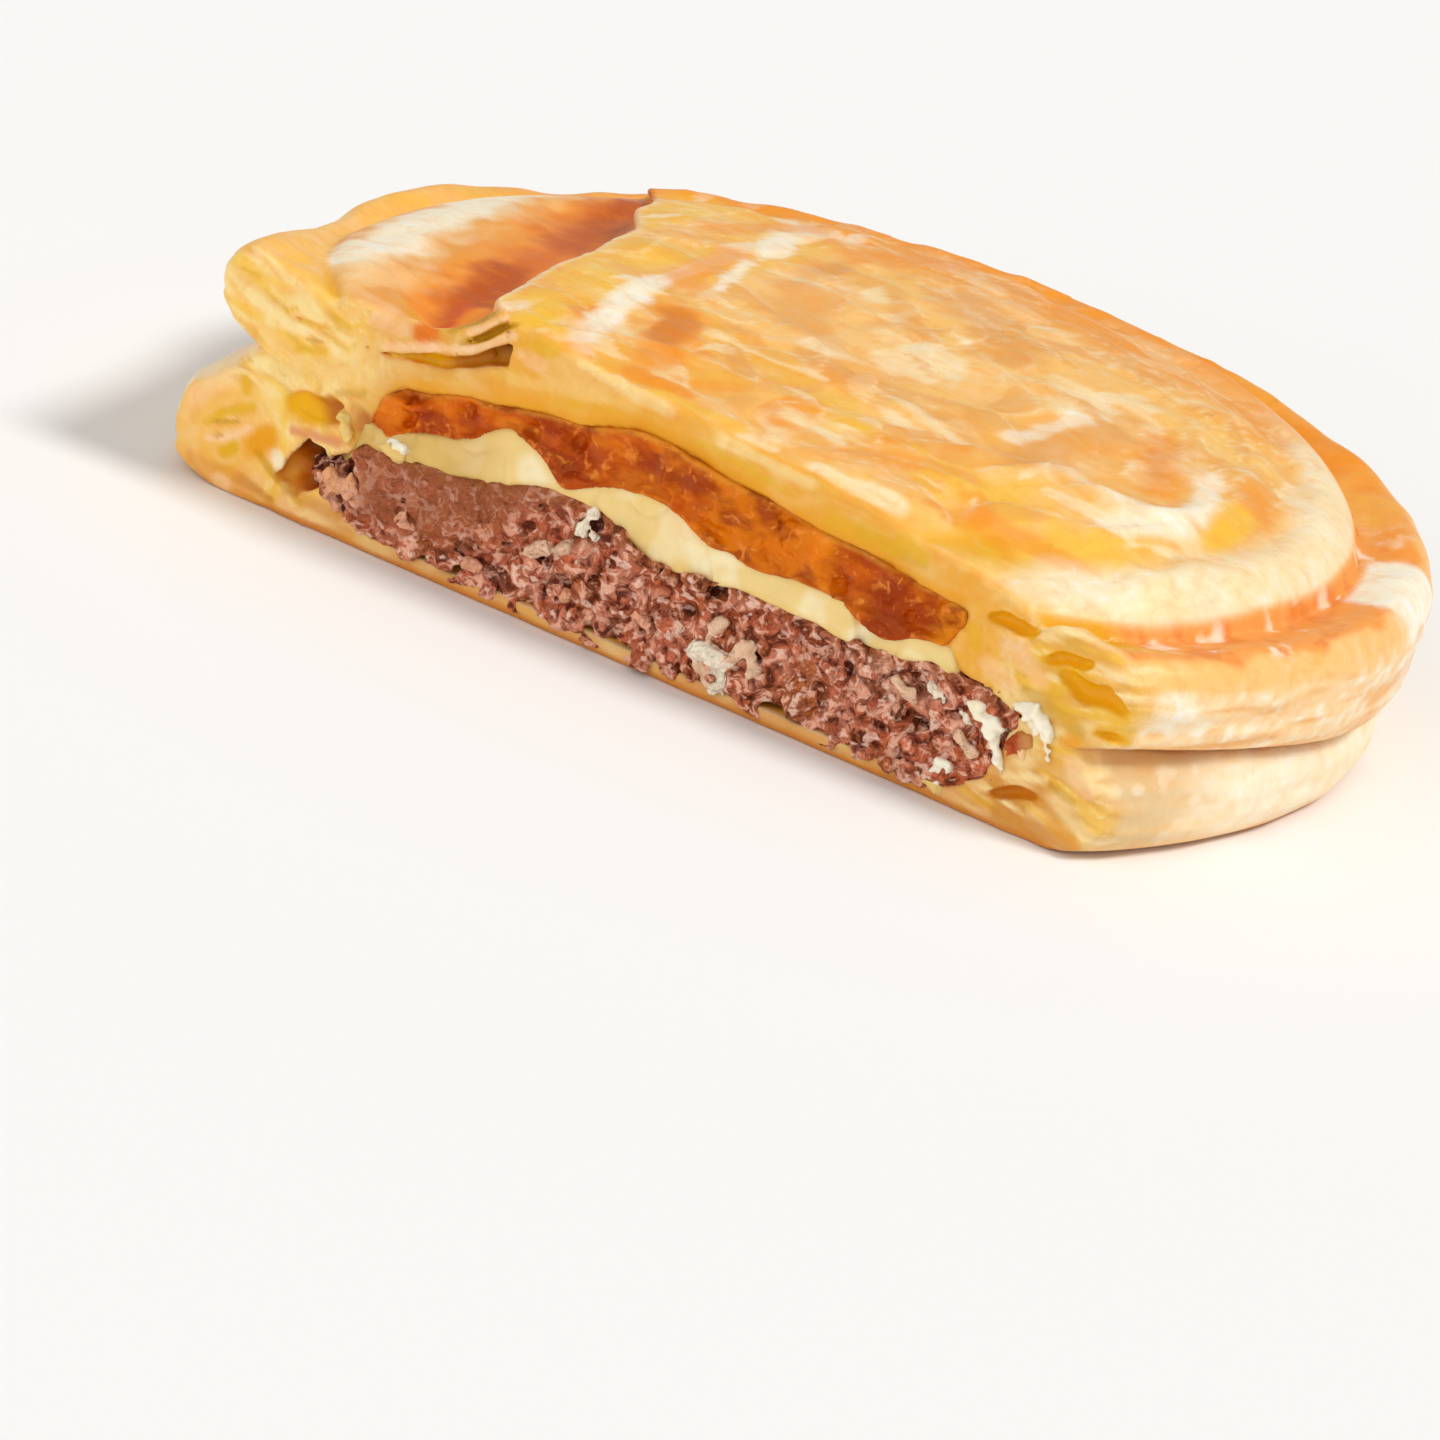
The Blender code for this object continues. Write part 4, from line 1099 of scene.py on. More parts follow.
def lid_ground(x, y):
    """The lid's own tints inside the rim, before any single mark: gold, and what it turns to in places."""
    front = smooth(y, -8.0, -26.0)
    back = smooth(y, 20.0, 36.0)
    middle = spot(x, y, (2.0, 2.0), 24.0)
    left = smooth(x, -13.0, -18.0)
    _, tone, edge = leaf_maps(x, y)
    return tinted(
        GOLD,
        (PEACH, 0.55 * middle),
        (TAN, (0.30 + 0.45 * middle) * smooth(blotch(x, y, 3.0, 9.0), 0.05, 0.30)),
        (YELLOW, (0.15 + 0.55 * front) * smooth(blotch(x, y, 12.0, 7.0), 0.0, 0.30)),
        (BACK_ORANGE, 0.80 * back),
        (shade(242, 164, 52), 0.60 * front * smooth(x, 8.0, -4.0) * smooth(x, -22.0, -16.0)),
        (AMBER, (0.30 + 0.40 * front) * smooth(blotch(x, y, 21.0, 6.0), 0.30, 0.50)),
        (PEACH, 0.6 * smooth(blotch(x, y, 33.0, 6.5), 0.20, 0.45)),
        (CREAM, 0.55 * smooth(blotch(x, y, 42.0, 5.5), 0.40, 0.60) * (1.0 - 0.7 * back)),
        (TAN, 0.5 * smooth(tone, -0.25, -0.7)),
        (CREAM, 0.40 * smooth(tone, 0.40, 0.8) * (1.0 - 0.7 * back)),
        (YELLOW, 0.5 * left * smooth(blotch(x, y, 50.0, 5.0), -0.2, 0.2)),
        (WHITE_CREAM, 0.50 * left * smooth(blotch(x * 1.6, y * 0.5, 61.0, 4.0), 0.26, 0.42)),
        (CREAM, 0.40 * edge),
    )


# Single marks on the lid as in the photograph: tint, share, start, end and half width
LID_MARKS = (
    (AMBER, 0.80, (-12.6, -15.5), (-8.6, -28.0), 2.5), (BROWN, 0.42, (-12.4, -16.5), (-10.6, -23.0), 1.9),
    (AMBER, 0.85, (-8.0, -33.4), (-2.5, -33.0), 1.3), (AMBER, 0.70, (-19.5, 9.0), (-17.6, -6.0), 1.6),
    (WHITE_CREAM, 0.85, (-19.5, -8.0), (-14.6, -33.0), 1.3),
    (WHITE_CREAM, 0.75, (-17.5, 9.0), (-14.5, -4.0), 0.7), (AMBER, 0.65, (31.0, 9.0), (36.0, -3.0), 2.3),
    (BROWN, 0.20, (32.0, 5.0), (34.0, 0.0), 1.1), (AMBER, 0.55, (43.0, 8.0), (44.6, -6.0), 1.9),
    (YELLOW, 0.75, (43.0, 2.0), (44.6, -8.0), 1.7), (WHITE_CREAM, 0.70, (38.0, 6.0), (41.5, -6.0), 1.2),
    (WHITE_CREAM, 0.65, (41.0, -9.0), (37.0, -17.0), 1.7), (AMBER, 0.60, (28.0, -28.0), (38.0, -26.5), 1.9),
    (CREAM, 0.80, (14.0, -35.0), (22.0, -34.0), 1.4), (CREAM, 0.60, (8.0, -12.0), (20.0, -17.0), 0.8),
    (CREAM, 0.50, (-8.0, -16.0), (4.0, -15.5), 0.4), (TAN, 0.60, (-10.0, 6.0), (-4.0, -4.0), 3.4),
    (TAN, 0.50, (2.0, 22.0), (12.0, 14.0), 3.2), (WHITE_CREAM, 0.75, (-21.0, 24.0), (-18.0, 14.0), 1.6),
    (BROWN, 0.22, (-12.0, 21.0), (-12.6, 12.0), 1.3), (TAN, 0.70, (27.0, 4.0), (25.0, -14.0), 2.2),
    (WHITE_CREAM, 0.55, (24.0, 3.0), (22.0, -10.0), 1.2), (AMBER, 0.45, (24.0, -22.0), (14.0, -29.0), 1.5),
    (AMBER, 0.45, (0.0, -26.0), (-5.0, -30.0), 1.1), (YELLOW, 0.85, (-20.4, -34.6), (-17.0, -33.4), 1.3),
    (YELLOW, 0.70, (-22.0, -28.0), (-19.0, -31.0), 1.2),
    (SHEET_PINK, 0.60, (-16.5, -30.0), (-13.0, -35.0), 1.2),
    (YELLOW, 0.60, (-4.0, -35.0), (4.0, -34.6), 1.0), (AMBER, 0.60, (-13.0, 26.0), (-8.0, 40.0), 2.6),
    (AMBER, 0.55, (-22.0, 34.0), (-25.0, 16.0), 1.9),
)


def panel_color(x, y):
    """Tints of the sunken panel: orange tan with brown streaks by the lip, and a cream stripe, a painted
    highlight where the left rim slopes up.
    """
    patches = blotch(x, y * 0.5, 71.0, 5.0)
    tint = tinted(
        shade(240, 164, 74),
        (PEACH, 0.6 * smooth(patches, 0.1, 0.45)),
        (TAN, 0.6 * smooth(patches, -0.1, -0.5)),
        (AMBER, 0.75 * stroke(x, y, (-40.0, 25.0), (-33.0, -26.0), 4.4)),
        (RIM_DARK, 0.70 * stroke(x, y, (-39.6, 25.0), (-31.6, -26.0), 3.4, 0.8)),
        (BROWN, 0.90 * stroke(x, y, (-39.6, 25.0), (-35.6, 5.0), 2.8, 0.9)),
        (BROWN, 0.30 * stroke(x, y, (-35.0, 4.0), (-34.6, -8.0), 1.6, 0.8)),
        (BROWN, 0.95 * stroke(x, y, (-34.4, -10.0), (-31.0, -26.0), 2.8, 0.7)),
        (shade(214, 84, 30), 0.60 * stroke(x, y, (-32.2, -22.0), (-31.0, -27.0), 1.2)),
        (AMBER, 0.85 * stroke(x, y, (-30.4, -22.0), (-29.6, -30.0), 1.4)),
        (BAKED_ORANGE, 0.90 * stroke(x, y, (-30.0, -33.4), (-29.2, -36.2), 0.9)),
        (AMBER, 0.60 * stroke(x, y, (-33.0, 14.0), (-30.0, 2.0), 1.5)),
        # painted highlight: the cream stripe where the left rim slopes up to the light
        (CREAM, 0.70 * stroke(x, y, (-50.0, 20.0), (-43.6, -34.0), 3.8, 0.55)),
        (WHITE_CREAM, 0.75 * stroke(x, y, (-50.0, 18.0), (-44.6, -26.0), 2.5, 0.4)),
        (PEACH, 0.55 * stroke(x, y, (-40.0, -24.0), (-41.0, -35.0), 2.6)),
        (SHEET_PINK, 0.50 * stroke(x, y, (-45.0, -33.0), (-34.0, -35.4), 1.2)),
    )
    standing = smooth(y, -33.6, -35.0) * smooth(x, -27.0, -25.5)
    return tinted(tint, (SHEET_PINK, 0.7 * standing), (AMBER, 0.5 * standing * smooth(patches, 0.1, 0.4)))


def flange_color(tint, x, y, radius, azimuth):
    """The rolled flange: gold on the left, an orange furrow on the right and behind."""
    flange = smooth(radius, 52.9, 53.8)
    outer = smooth(radius + 0.8 * ripple(x, y, 93.0, 3.0), 59.8, 61.0)
    furrow = smooth(azimuth, -38.0, -34.5) * smooth(azimuth, 32.0, 22.0) * (1.0 - outer)
    behind = near_angle(azimuth, 70.0, 62.0)
    speckle = blotch(x, y, 81.0, 3.2)
    return tinted(
        tint,
        (GOLD, flange),
        (CREAM, 0.8 * flange * smooth(azimuth, -34.0, -38.0) * smooth(x, 0.0, 10.0)),
        (PEACH, 0.5 * flange * smooth(speckle, 0.0, 0.4)),
        (BACK_ORANGE, 0.5 * flange * near_angle(azimuth, 138.0, 26.0)),
        (YELLOW, 0.35 * flange * smooth(speckle, -0.1, -0.5)),
        (RIM_ORANGE, 0.95 * flange * furrow),
        (BACK_ORANGE, 0.95 * flange * behind * (0.9 + 0.4 * speckle)),
        (RIM_DARK, 0.45 * flange * furrow * (1.0 - outer) * smooth(blotch(x, y, 96.0, 2.2), 0.15, 0.5)),
        # painted glints: white highlights in the furrow
        (WHITE_CREAM, 0.65 * flange * furrow * smooth(blotch(x, y, 99.0, 2.4), 0.30, 0.55)),
        (PEACH, 0.85 * outer * near_angle(azimuth, -10.0, 60.0)),
        # painted highlight: the flange's inner edge white where it faces the light on the far right
        (WHITE_CREAM, smooth(radius, 54.6, 55.6) * smooth(np.abs(azimuth - 12.0) + 1.8 * speckle, 9.5, 6.5)),
    )


def flange_side_color(tint, z, azimuth, aside):
    """The ends of the dough's sheets round the side of the flange, where aside is 1."""
    sheets = ripple(azimuth * 0.16, z * 1.5, 3.0, 1.0)
    glints = ripple(azimuth * 0.9, z * 1.1, 13.0, 1.0)
    bright_patch = near_angle(azimuth, -31.0, 3.0) * smooth(z, 13.4, 14.6) * smooth(z, 19.0, 17.6)
    return tinted(
        tint,
        (SIDE_CREAM, aside * (0.45 + 0.5 * sheets)),
        # painted glints: pink and white highlights on the sheets' ends
        (CUT_PINK, 0.7 * aside * smooth(glints, 0.1, 0.5)),
        (WHITE_CREAM, 0.6 * aside * smooth(glints, -0.25, -0.6)),
        (TAN, aside * 0.45 * smooth(sheets, -0.1, -0.6)),
        (WHITE_CREAM, 0.75 * aside * bright_patch),
        (SHEET_PINK, 0.75 * aside * near_angle(azimuth, -36.0, 2.2) * smooth(z, 20.0, 18.0)),
    )


def opening_color(tint, x, y, z, radius):
    """What is seen inside the lid's openings at the cut, with painted shade in the gap under the torn sheets.
    """
    below = smooth(z, dome_height(x, y) - 0.2, dome_height(x, y) - 1.4)
    deep = inward(y, 0.5, 1.2) * inward(y, 9.0, 5.0) * below * smooth(radius, 59.5, 57.5)
    in_wedge = smooth(wedge(x, y, z), 0.6, 0.2) * inward(y, 0.2, 0.9)
    upper = smooth(z - 0.38 * (x + 20.0), 24.2, 25.6)
    tint = tinted(
        paint_slits(tint, LID_SLITS, x, y, z),
        (OPENING, 0.95 * deep),
        (shade(226, 168, 6), in_wedge),
        # painted shade in the gap under the torn sheets: tan towards its deeper right end, dark brown at the
        # top there
        (OPENING_TAN, 0.8 * in_wedge * smooth(x, -27.5, -25.5)),
        (shade(150, 84, 0), 0.9 * in_wedge * smooth(x, -24.0, -21.0) * upper),
    )
    return paint_hollow(tint, x, y, z)


def lid_color(x, y, z, normals):
    """Tints of the whole lid: its top, the panel, the flange, the side, the cut and the openings."""
    radius, azimuth = polar(x, y)
    on_top = smooth(normals[:, 2], 0.1, 0.5)
    side = fold_side(x, y)
    right_rim = smooth(azimuth, -54.0, -36.0) * smooth(azimuth, 58.0, 28.0)
    rim_highlight = smooth(radius + 1.2 * blotch(x, y, 88.0, 5.0), 45.0, 49.0) * right_rim
    on_panel = smooth(side, 0.1, -0.3)
    lip_highlight = np.exp(-((side + 0.15) / 0.30) ** 2) * smooth(radius, 46.0, 40.0)
    tint = tinted(
        marked(lid_ground(x, y), LID_MARKS, x, y),
        # painted highlight on the right and front of the dimple's raised ring
        (WHITE_CREAM, 0.75 * ring(x, y, (33.0, -4.0), 8.0, 1.1)),
        (BACK_ORANGE, 0.7 * smooth(radius, 44.0, 50.0) * smooth(azimuth, 44.0, 62.0)),
        # painted highlight: the rim pale on the right, where it faces the light
        (shade(255, 228, 180), 0.95 * rim_highlight),
        (WHITE_CREAM, 0.35 * rim_highlight * smooth(blotch(x, y, 90.0, 6.0), -0.1, 0.4)),
        (panel_color(x, y), on_panel),
        # painted highlight along the lip's thin edge
        (CREAM, 0.7 * lip_highlight * smooth(y, -36.0, -30.0)),
        (YELLOW, 0.7 * spot(x, y, (-19.2, -33.8), 2.8) * (1.0 - on_panel)),
    )
    tint = flange_color(tint, x, y, radius, azimuth)
    tint = flange_side_color(tint, z, azimuth, (1.0 - on_top) * smooth(radius, 57.0, 59.0))
    tint = tinted(tint, (cut_color(x, z), cut_facing(normals, y)))
    return opening_color(tint, x, y, z, radius)


def paint_slits(tint, slits, x, y, z):
    """Amber inside the openings of the cut, olive in the torn sheets, brown in the lowest ones."""
    for opening in slits:
        share = smooth(slit(x, y, z, *opening), 0.16, 0.0) * inward(y, -0.1, 0.25)
        _, height, *_, tilt = opening
        color = OLIVE if tilt > 30 else SLIT_BROWN if height < 8.0 else OPENING
        tint = tinted(tint, (color, 0.95 * share))
    return tint


def paint_hollow(tint, x, y, z):
    """Inside the hollows beside the patty: amber in the upper one, tan below, and painted shade: brown to the
    right in both, darkest in the deep lower one.
    """
    inside = smooth(hollow(x, y, z), 0.5, 0.1) * inward(y, 0.05, 0.6)
    lower = smooth(z, 9.6, 8.0)
    return tinted(
        tint,
        (HOLLOW_AMBER, inside * (1.0 - lower)),
        # painted shade in the upper hollow's right part
        (HOLLOW_BROWN, inside * (1.0 - lower) * 0.85 * smooth(x + 0.9 * (z - 11.7), -39.4, -36.6)),
        (OPENING_TAN, inside * lower),
        # painted shade in the lower hollow, darker towards its right
        (shade(180, 88, 0), inside * lower * smooth(x + 0.3 * (z - 5.6), -40.8, -39.2)),
        (shade(108, 38, 0), 0.95 * inside * lower * smooth(x + 0.5 * (z - 5.6), -39.8, -37.4)),
    )


# ---- the base --------------------------------------------------------------------------------------------

# The base's outline, outside and inside: height and radius
BASE_SIDE = (
    (-0.5, 56.0), (0.0, 57.6), (0.6, 59.0), (1.4, 59.8), (3.8, 60.4), (6.6, 60.5), (9.2, 60.1), (10.8, 59.0),
    (12.0, 57.0),
)
BASE_HOLLOW = ((1.8, 48.0), (2.6, 50.2), (4.4, 51.4), (7.4, 52.2), (10.8, 52.6))


def make_base(look):
    """The base: its outer wall up to the seam, with the cavity of the filling, then opened at the cut."""
    lines = (
        grid((-64.6, 64.0, 0.46)),
        grid((-39.2, -31.0, 0.38), (-31.0, 0.0, 0.75), (0.0, 63.0, 1.1)),
        grid((-0.8, 17.2, 0.34)),
    )
    _, _, x, y, z = space(*lines)
    radius, azimuth = polar(x, y)
    rise = SWELL_RISE * swell(azimuth) - seam_drop(azimuth)
    level = z / (1.0 + rise * smooth(radius, WALL_RADIUS, 58.0) / SEAM_HEIGHT)
    upright = smooth(level, -2.0, 1.5) * (1.0 - smooth(level, 5.0, SEAM_HEIGHT))
    drawn_in = waist_depth(azimuth, y) * smooth(level, 4.0, SEAM_HEIGHT)
    wave = 0.45 * grain(x, y, 60.0, 10.0) * smooth(level, 0.0, 2.0)
    push = SWELL_BULGE * swell(azimuth) + RIGHT_BULGE * near_angle(azimuth, RIGHT_END, 14.0)
    layered = 0.3 * ripple(azimuth * 0.12, level * 1.3 + 0.02 * azimuth, 20.0, 1.0)
    layered = layered + 0.12 * ripple(azimuth * 0.5, level * 2.4, 29.0, 1.0)
    reach = rounded(BASE_SIDE, level, 0.3) + upright * (push + wave) - drawn_in
    cavity = np.hypot(x - FILLING_SHIFT, y) - rounded(BASE_HOLLOW, z, 0.2)
    field = meet(radius - reach + layered * smooth(level, 0.6, 2.0), level - SEAM_HEIGHT + seam_gap(y), 0.25)
    field = meet(field, -z, 0.3)
    field = meet(field, -np.maximum(cavity, BASE_THICKNESS - z), 0.4)
    field = meet(field, cut_face(lines), 0.3)
    near = near_cut(lines, x, y, z, OPENINGS_REACH)
    for opening in BASE_SLITS:
        carve(field, slit(*near, *opening))
    carve(field, hollow(*near))
    base, vertices = skinned("pastry_base", field, lines, look, "base_pastry", "base_crust", even=True)
    paint(base, "tint", base_color(*vertices.T, vertex_normals(base)))


def base_color(x, y, z, normals):
    """Tints of the whole base: its pale side, the baked underside, the cut and the openings."""
    facing_cut = cut_facing(normals, y)
    _, azimuth = polar(x, y)
    sheets = ripple(azimuth * 0.16, z * 1.4, 23.0, 1.0)
    patches = ripple(azimuth * 0.2, z * 0.3, 33.0, 1.0)
    glints = ripple(azimuth * 0.7, z * 0.8, 43.0, 1.0)
    under = smooth(-normals[:, 2], 0.4, 0.8)
    within = smooth(np.hypot(x - FILLING_SHIFT, y), 57.0, 55.5) * (1.0 - facing_cut)
    tint = tinted(
        SIDE_CREAM,
        (BASE_WHITE, 0.8 * near_angle(azimuth, -10.0, 20.0)),
        (BASE_BEIGE, 0.90 * smooth(azimuth, -17.0, -31.0) * smooth(azimuth, -60.0, -50.0)),
        (PEACH, 0.25 * smooth(patches, 0.0, 0.6)),
        (GOLD, 0.20 * smooth(sheets, 0.1, 0.6)),
        # painted shade under the flange's overhang, at the top of the base's side
        (CUT_TAN, 0.5 * near_angle(azimuth, -32.0, 18.0) * smooth(z, 7.0, 11.0)),
        # painted glints: white highlights on the side
        (WHITE_CREAM, 0.3 * smooth(glints, 0.1, 0.6)),
        (PEACH, 0.7 * smooth(z, 2.2, 0.6)),
        (CRUST_UNDER, 0.7 * smooth(z, 1.0, 0.2)),
        (TAN, 0.8 * under * smooth(ripple(x, y, 3.0, 6.0), -0.5, 0.5)),
        (cut_color(x, z), facing_cut),
        (OPENING, 0.9 * inward(y, 0.5, 1.2) * within),
    )
    return paint_hollow(paint_slits(tint, BASE_SLITS, x, y, z), x, y, z)


# ---- the filling -----------------------------------------------------------------------------------------

def filling_space(low, high, spacing):
    """The grid that a layer of the filling is worked out on, between two heights, with its points."""
    ys = grid((-39.2, -33.0, spacing), (-33.0, -24.0, 0.8), (-24.0, 56.0, 3.0))
    lines = grid((-56.0, 56.5, spacing)), ys, grid((low, high, spacing))
    return lines, space(*lines)


def cut_filling(field, lines, proud, relief, ragged, blend, blend_behind):
    """Ends a layer just in front of the dough's cut face, near the cut with a relief and ragged edges."""
    front = relief.shape[1]
    cut = -CUT_OFFSET - proud - lines[1][None, :, None]
    field[:, :front] = meet(field[:, :front] + ragged, cut[:, :front] + relief, blend)
    field[:, front:] = meet(field[:, front:], cut[:, front:], blend_behind)


# The patty's outline: height and radius
PATTY_SIDE = (
    (2.0, 48.4), (2.8, 50.2), (4.2, 51.4), (7.0, 52.3), (9.4, 52.3), (11.6, 51.6), (12.4, 49.6), (13.0, 46.5),
)


def beef_rough(x, z):
    """The patty's cut face is smooth towards its upper left and crumbly elsewhere."""
    rough = smooth(x - 1.3 * z, -33.0, -19.0) + smooth(x, -31.5, -33.5)
    rough = rough + 0.8 * smooth(z, 4.6, 2.6)
    return np.clip(rough, 0.0, 1.0)


# Pits in the patty's cut face: x, z, half width, half height and depth
PITS = (
    (-10.4, 11.9, 1.0, 0.8, 2.0), (-7.0, 12.0, 1.2, 0.7, 2.2), (-13.2, 9.6, 0.7, 0.5, 1.4),
    (-20.6, 7.2, 0.5, 1.1, 1.2), (-4.4, 9.0, 0.8, 0.6, 1.6), (4.6, 7.6, 1.0, 0.7, 1.8),
    (12.4, 6.2, 0.9, 0.7, 1.7), (19.6, 9.6, 1.1, 0.6, 2.0), (26.8, 4.4, 1.2, 0.7, 1.8),
    (31.0, 6.6, 0.9, 0.7, 1.6), (-30.6, 3.6, 0.9, 0.6, 1.5), (-16.4, 3.4, 0.8, 0.6, 1.4),
    (8.2, 11.0, 0.9, 0.5, 1.5), (0.8, 4.2, 0.8, 0.6, 1.6), (34.0, 9.0, 0.8, 0.6, 1.6),
    (23.0, 6.4, 0.8, 0.6, 1.5),
)


def patty_crumbs(x, y, z):
    """The minced crumbs, larger and smaller, as nearest distances and numbers of scattered points."""
    bent = [line + 0.5 * ripple(x, y, z, 1.6 + 0.1 * n) for n, line in enumerate((x, y, z))]
    return pebbles(*bent, 3.0), pebbles(*bent, 1.6)


def make_patty(look):
    """The patty: its turned outline under the wavy top, with crumbs, pits and hanging bits at the cut."""
    lines, (x, y, x3, y3, z3) = filling_space(0.6, 16.6, 0.26)
    inner = np.hypot(x - FILLING_SHIFT, y)
    top = patty_top(x, y) - 1.4 * smooth(inner, PATTY_RADIUS - 3.0, PATTY_RADIUS + 0.8)
    ends = 1.0 * smooth(x, 10.0, 30.0) + 1.2 * smooth(x, -28.0, -33.0)
    hang = 1.5 * inward(y, 0.9, 0.2) * smooth(x, -24.0, -10.0) * smooth(x, 36.0, 27.0)
    bottom = PATTY_BOTTOM - TOUCH - GAP - hang
    field = meet(inner[..., None] - rounded(PATTY_SIDE, z3, 0.3) - ends[..., None], z3 - top[..., None], 0.6)
    field = meet(field, bottom[..., None] - z3, 0.4)

    block = np.broadcast_arrays(*near_cut(lines, x3, y3, z3, RELIEF_REACH))
    rough = beef_rough(block[0], block[2])
    (lumps, _, _), (small, _, _) = patty_crumbs(*block)
    crumbs = 0.9 * (lumps - 1.45) + 0.9 * (small - 0.7)
    gentle = 0.4 * ripple(*block, 3.4) + 0.12 * ripple(*block, 1.0)
    holes = 1.8 * smooth(ripple(*block, 1.7), 0.45, 0.70)
    for pit_x, pit_z, half_width, half_height, depth in PITS:
        apart = ((block[0] - pit_x) / half_width) ** 2 + ((block[2] - pit_z) / half_height) ** 2
        holes = np.maximum(holes, depth * np.exp(-apart))
    relief = rough * crumbs + (1.0 - rough) * gentle + holes * (0.3 + 0.7 * rough)
    ragged = 0.5 * rough * crumbs + 0.35 * ripple(*block, 1.5)
    cut_filling(field, lines, PATTY_PROUD, relief, ragged, 0.3, 0.3)
    patty, vertices = skinned("beef_filling", field, lines, look, "beef", "beef_patty")
    paint_patty(patty, *vertices.T)


def paint_patty(patty, x, y, z):
    """Browned beef, brighter and darker crumbs where it is rough, and painted shade in the cracks between
    crumbs and in the pits.
    """
    rough = beef_rough(x, z)
    (_, _, number), (from_crumb, from_next, small_number) = patty_crumbs(x, y, z)
    crack_shade = smooth(from_next - from_crumb, 0.34, 0.04) * smooth(small_number, 0.2, 0.5)
    broken = 0.35 * ripple(x, y, z, 0.9)
    depth = y + CUT_OFFSET + PATTY_PROUD
    brownish = smooth(ripple(x, 4.0, z, 6.0), -0.1, 0.5)
    near_top = smooth(patty_top(x, y) - z, 2.2, 0.4)
    nugget = spot(x, z, (-33.8, 5.8), 2.3)
    tint = tinted(
        shade(206, 104, 64),
        (shade(184, 104, 48), 0.7 * brownish),
        (shade(220, 122, 92), 0.7 * rough * smooth(number + broken, 0.35, 0.7)),
        (shade(228, 160, 132), 0.5 * rough * smooth(number + broken, 0.80, 1.05)),
        (shade(240, 170, 140), 0.5 * rough * smooth(small_number + broken, 0.65, 0.95)),
        (shade(150, 74, 48), 0.60 * rough * smooth(small_number + broken, 0.30, 0.10)),
        # painted shade in the cracks between crumbs
        (shade(120, 54, 32), 0.50 * rough * crack_shade),
        (shade(244, 200, 168), 0.6 * spot(x, z, (27.4, 9.2), 3.2) * smooth(small_number + broken, 0.3, 0.6)),
        (shade(158, 86, 54), 0.85 * (1.0 - rough)),
        (shade(150, 88, 40), 0.55 * near_top),
        (shade(232, 172, 130), 0.8 * nugget),
        (shade(182, 104, 54), 0.8 * smooth(x, -32.0, -34.0) * (1.0 - nugget)),
        # painted shade: darker the deeper a point lies behind the cut, in pits and gaps
        (shade(84, 34, 18), 0.9 * smooth(depth, 0.7, 2.0)),
    )
    paint(patty, "tint", tint)
    paint(patty, "rough", 0.25 + 0.75 * rough)


def make_cheese(look):
    """The cheese: a wavy slab between the patty's top and its own, with folds at the cut."""
    lines, (x, y, _, y3, z3) = filling_space(7.5, 20.6, 0.28)
    inner = np.hypot(x - FILLING_SHIFT, y)
    drips = 0.35 * grain(x, 81.0, y, 2.4) * behind_cut(y)
    reach = inner - (CHEESE_RADIUS - 0.4) - 2.4 * smooth(x, -26.0, -31.0)
    field = meet(reach[..., None], z3 - (cheese_top(x, y) + TOUCH)[..., None], 0.4)
    field = meet(field, (patty_top(x, y) - TOUCH - 0.25 + drips)[..., None] - z3, 0.3)
    cut_x, cut_z = np.meshgrid(lines[0], lines[2], indexing="ij")
    slab = smooth(grain(cut_x, 91.0, cut_z * 0.6, 5.0), -0.08, 0.08)
    relief = -0.6 + 0.5 * slab + 0.7 * grain(cut_x, 70.0, cut_z, 5.0)
    relief = relief + 0.25 * grain(cut_x, 75.0, cut_z * 1.6, 2.0)
    field = meet(field, relief[:, None, :] - CUT_OFFSET - y3, 0.6)
    cheese, vertices = skinned("melted_cheese", field, lines, look, "cheese", "cheese_slice")
    x, y, z = vertices.T
    paint(cheese, "tint", tinted(
        shade(243, 213, 142),
        (shade(254, 236, 190), smooth(grain(x, 3.0, z, 4.0), -0.1, 0.25)),
        (shade(238, 186, 96), 0.5 * smooth(cheese_top(x, y) - z, 1.0, 0.1)),
        # painted shade along the cheese's lower edge, above the patty
        (shade(236, 196, 112), 0.6 * smooth(z - patty_top(x, y), 0.7, 0.0)),
        (shade(212, 170, 84), 0.80 * smooth(x, -15.0, -23.0)),
        # painted shade: darker the deeper a point lies behind the cut, in the folds
        (shade(214, 160, 60), 0.7 * inward(y, 0.9, 2.4)),
    ))


# Where the relish sags in front of the cheese: x, depth and half width
RELISH_SAGS = ((-30.5, 0.8, 1.8), (-11.0, 1.3, 3.0), (5.6, 0.9, 2.4), (11.0, 0.7, 2.0), (24.6, 1.6, 4.0))


def relish_sag(x):
    """How far the relish sags below the cheese's top."""
    return sum(depth * np.exp(-((x - place) / width) ** 2) for place, depth, width in RELISH_SAGS)


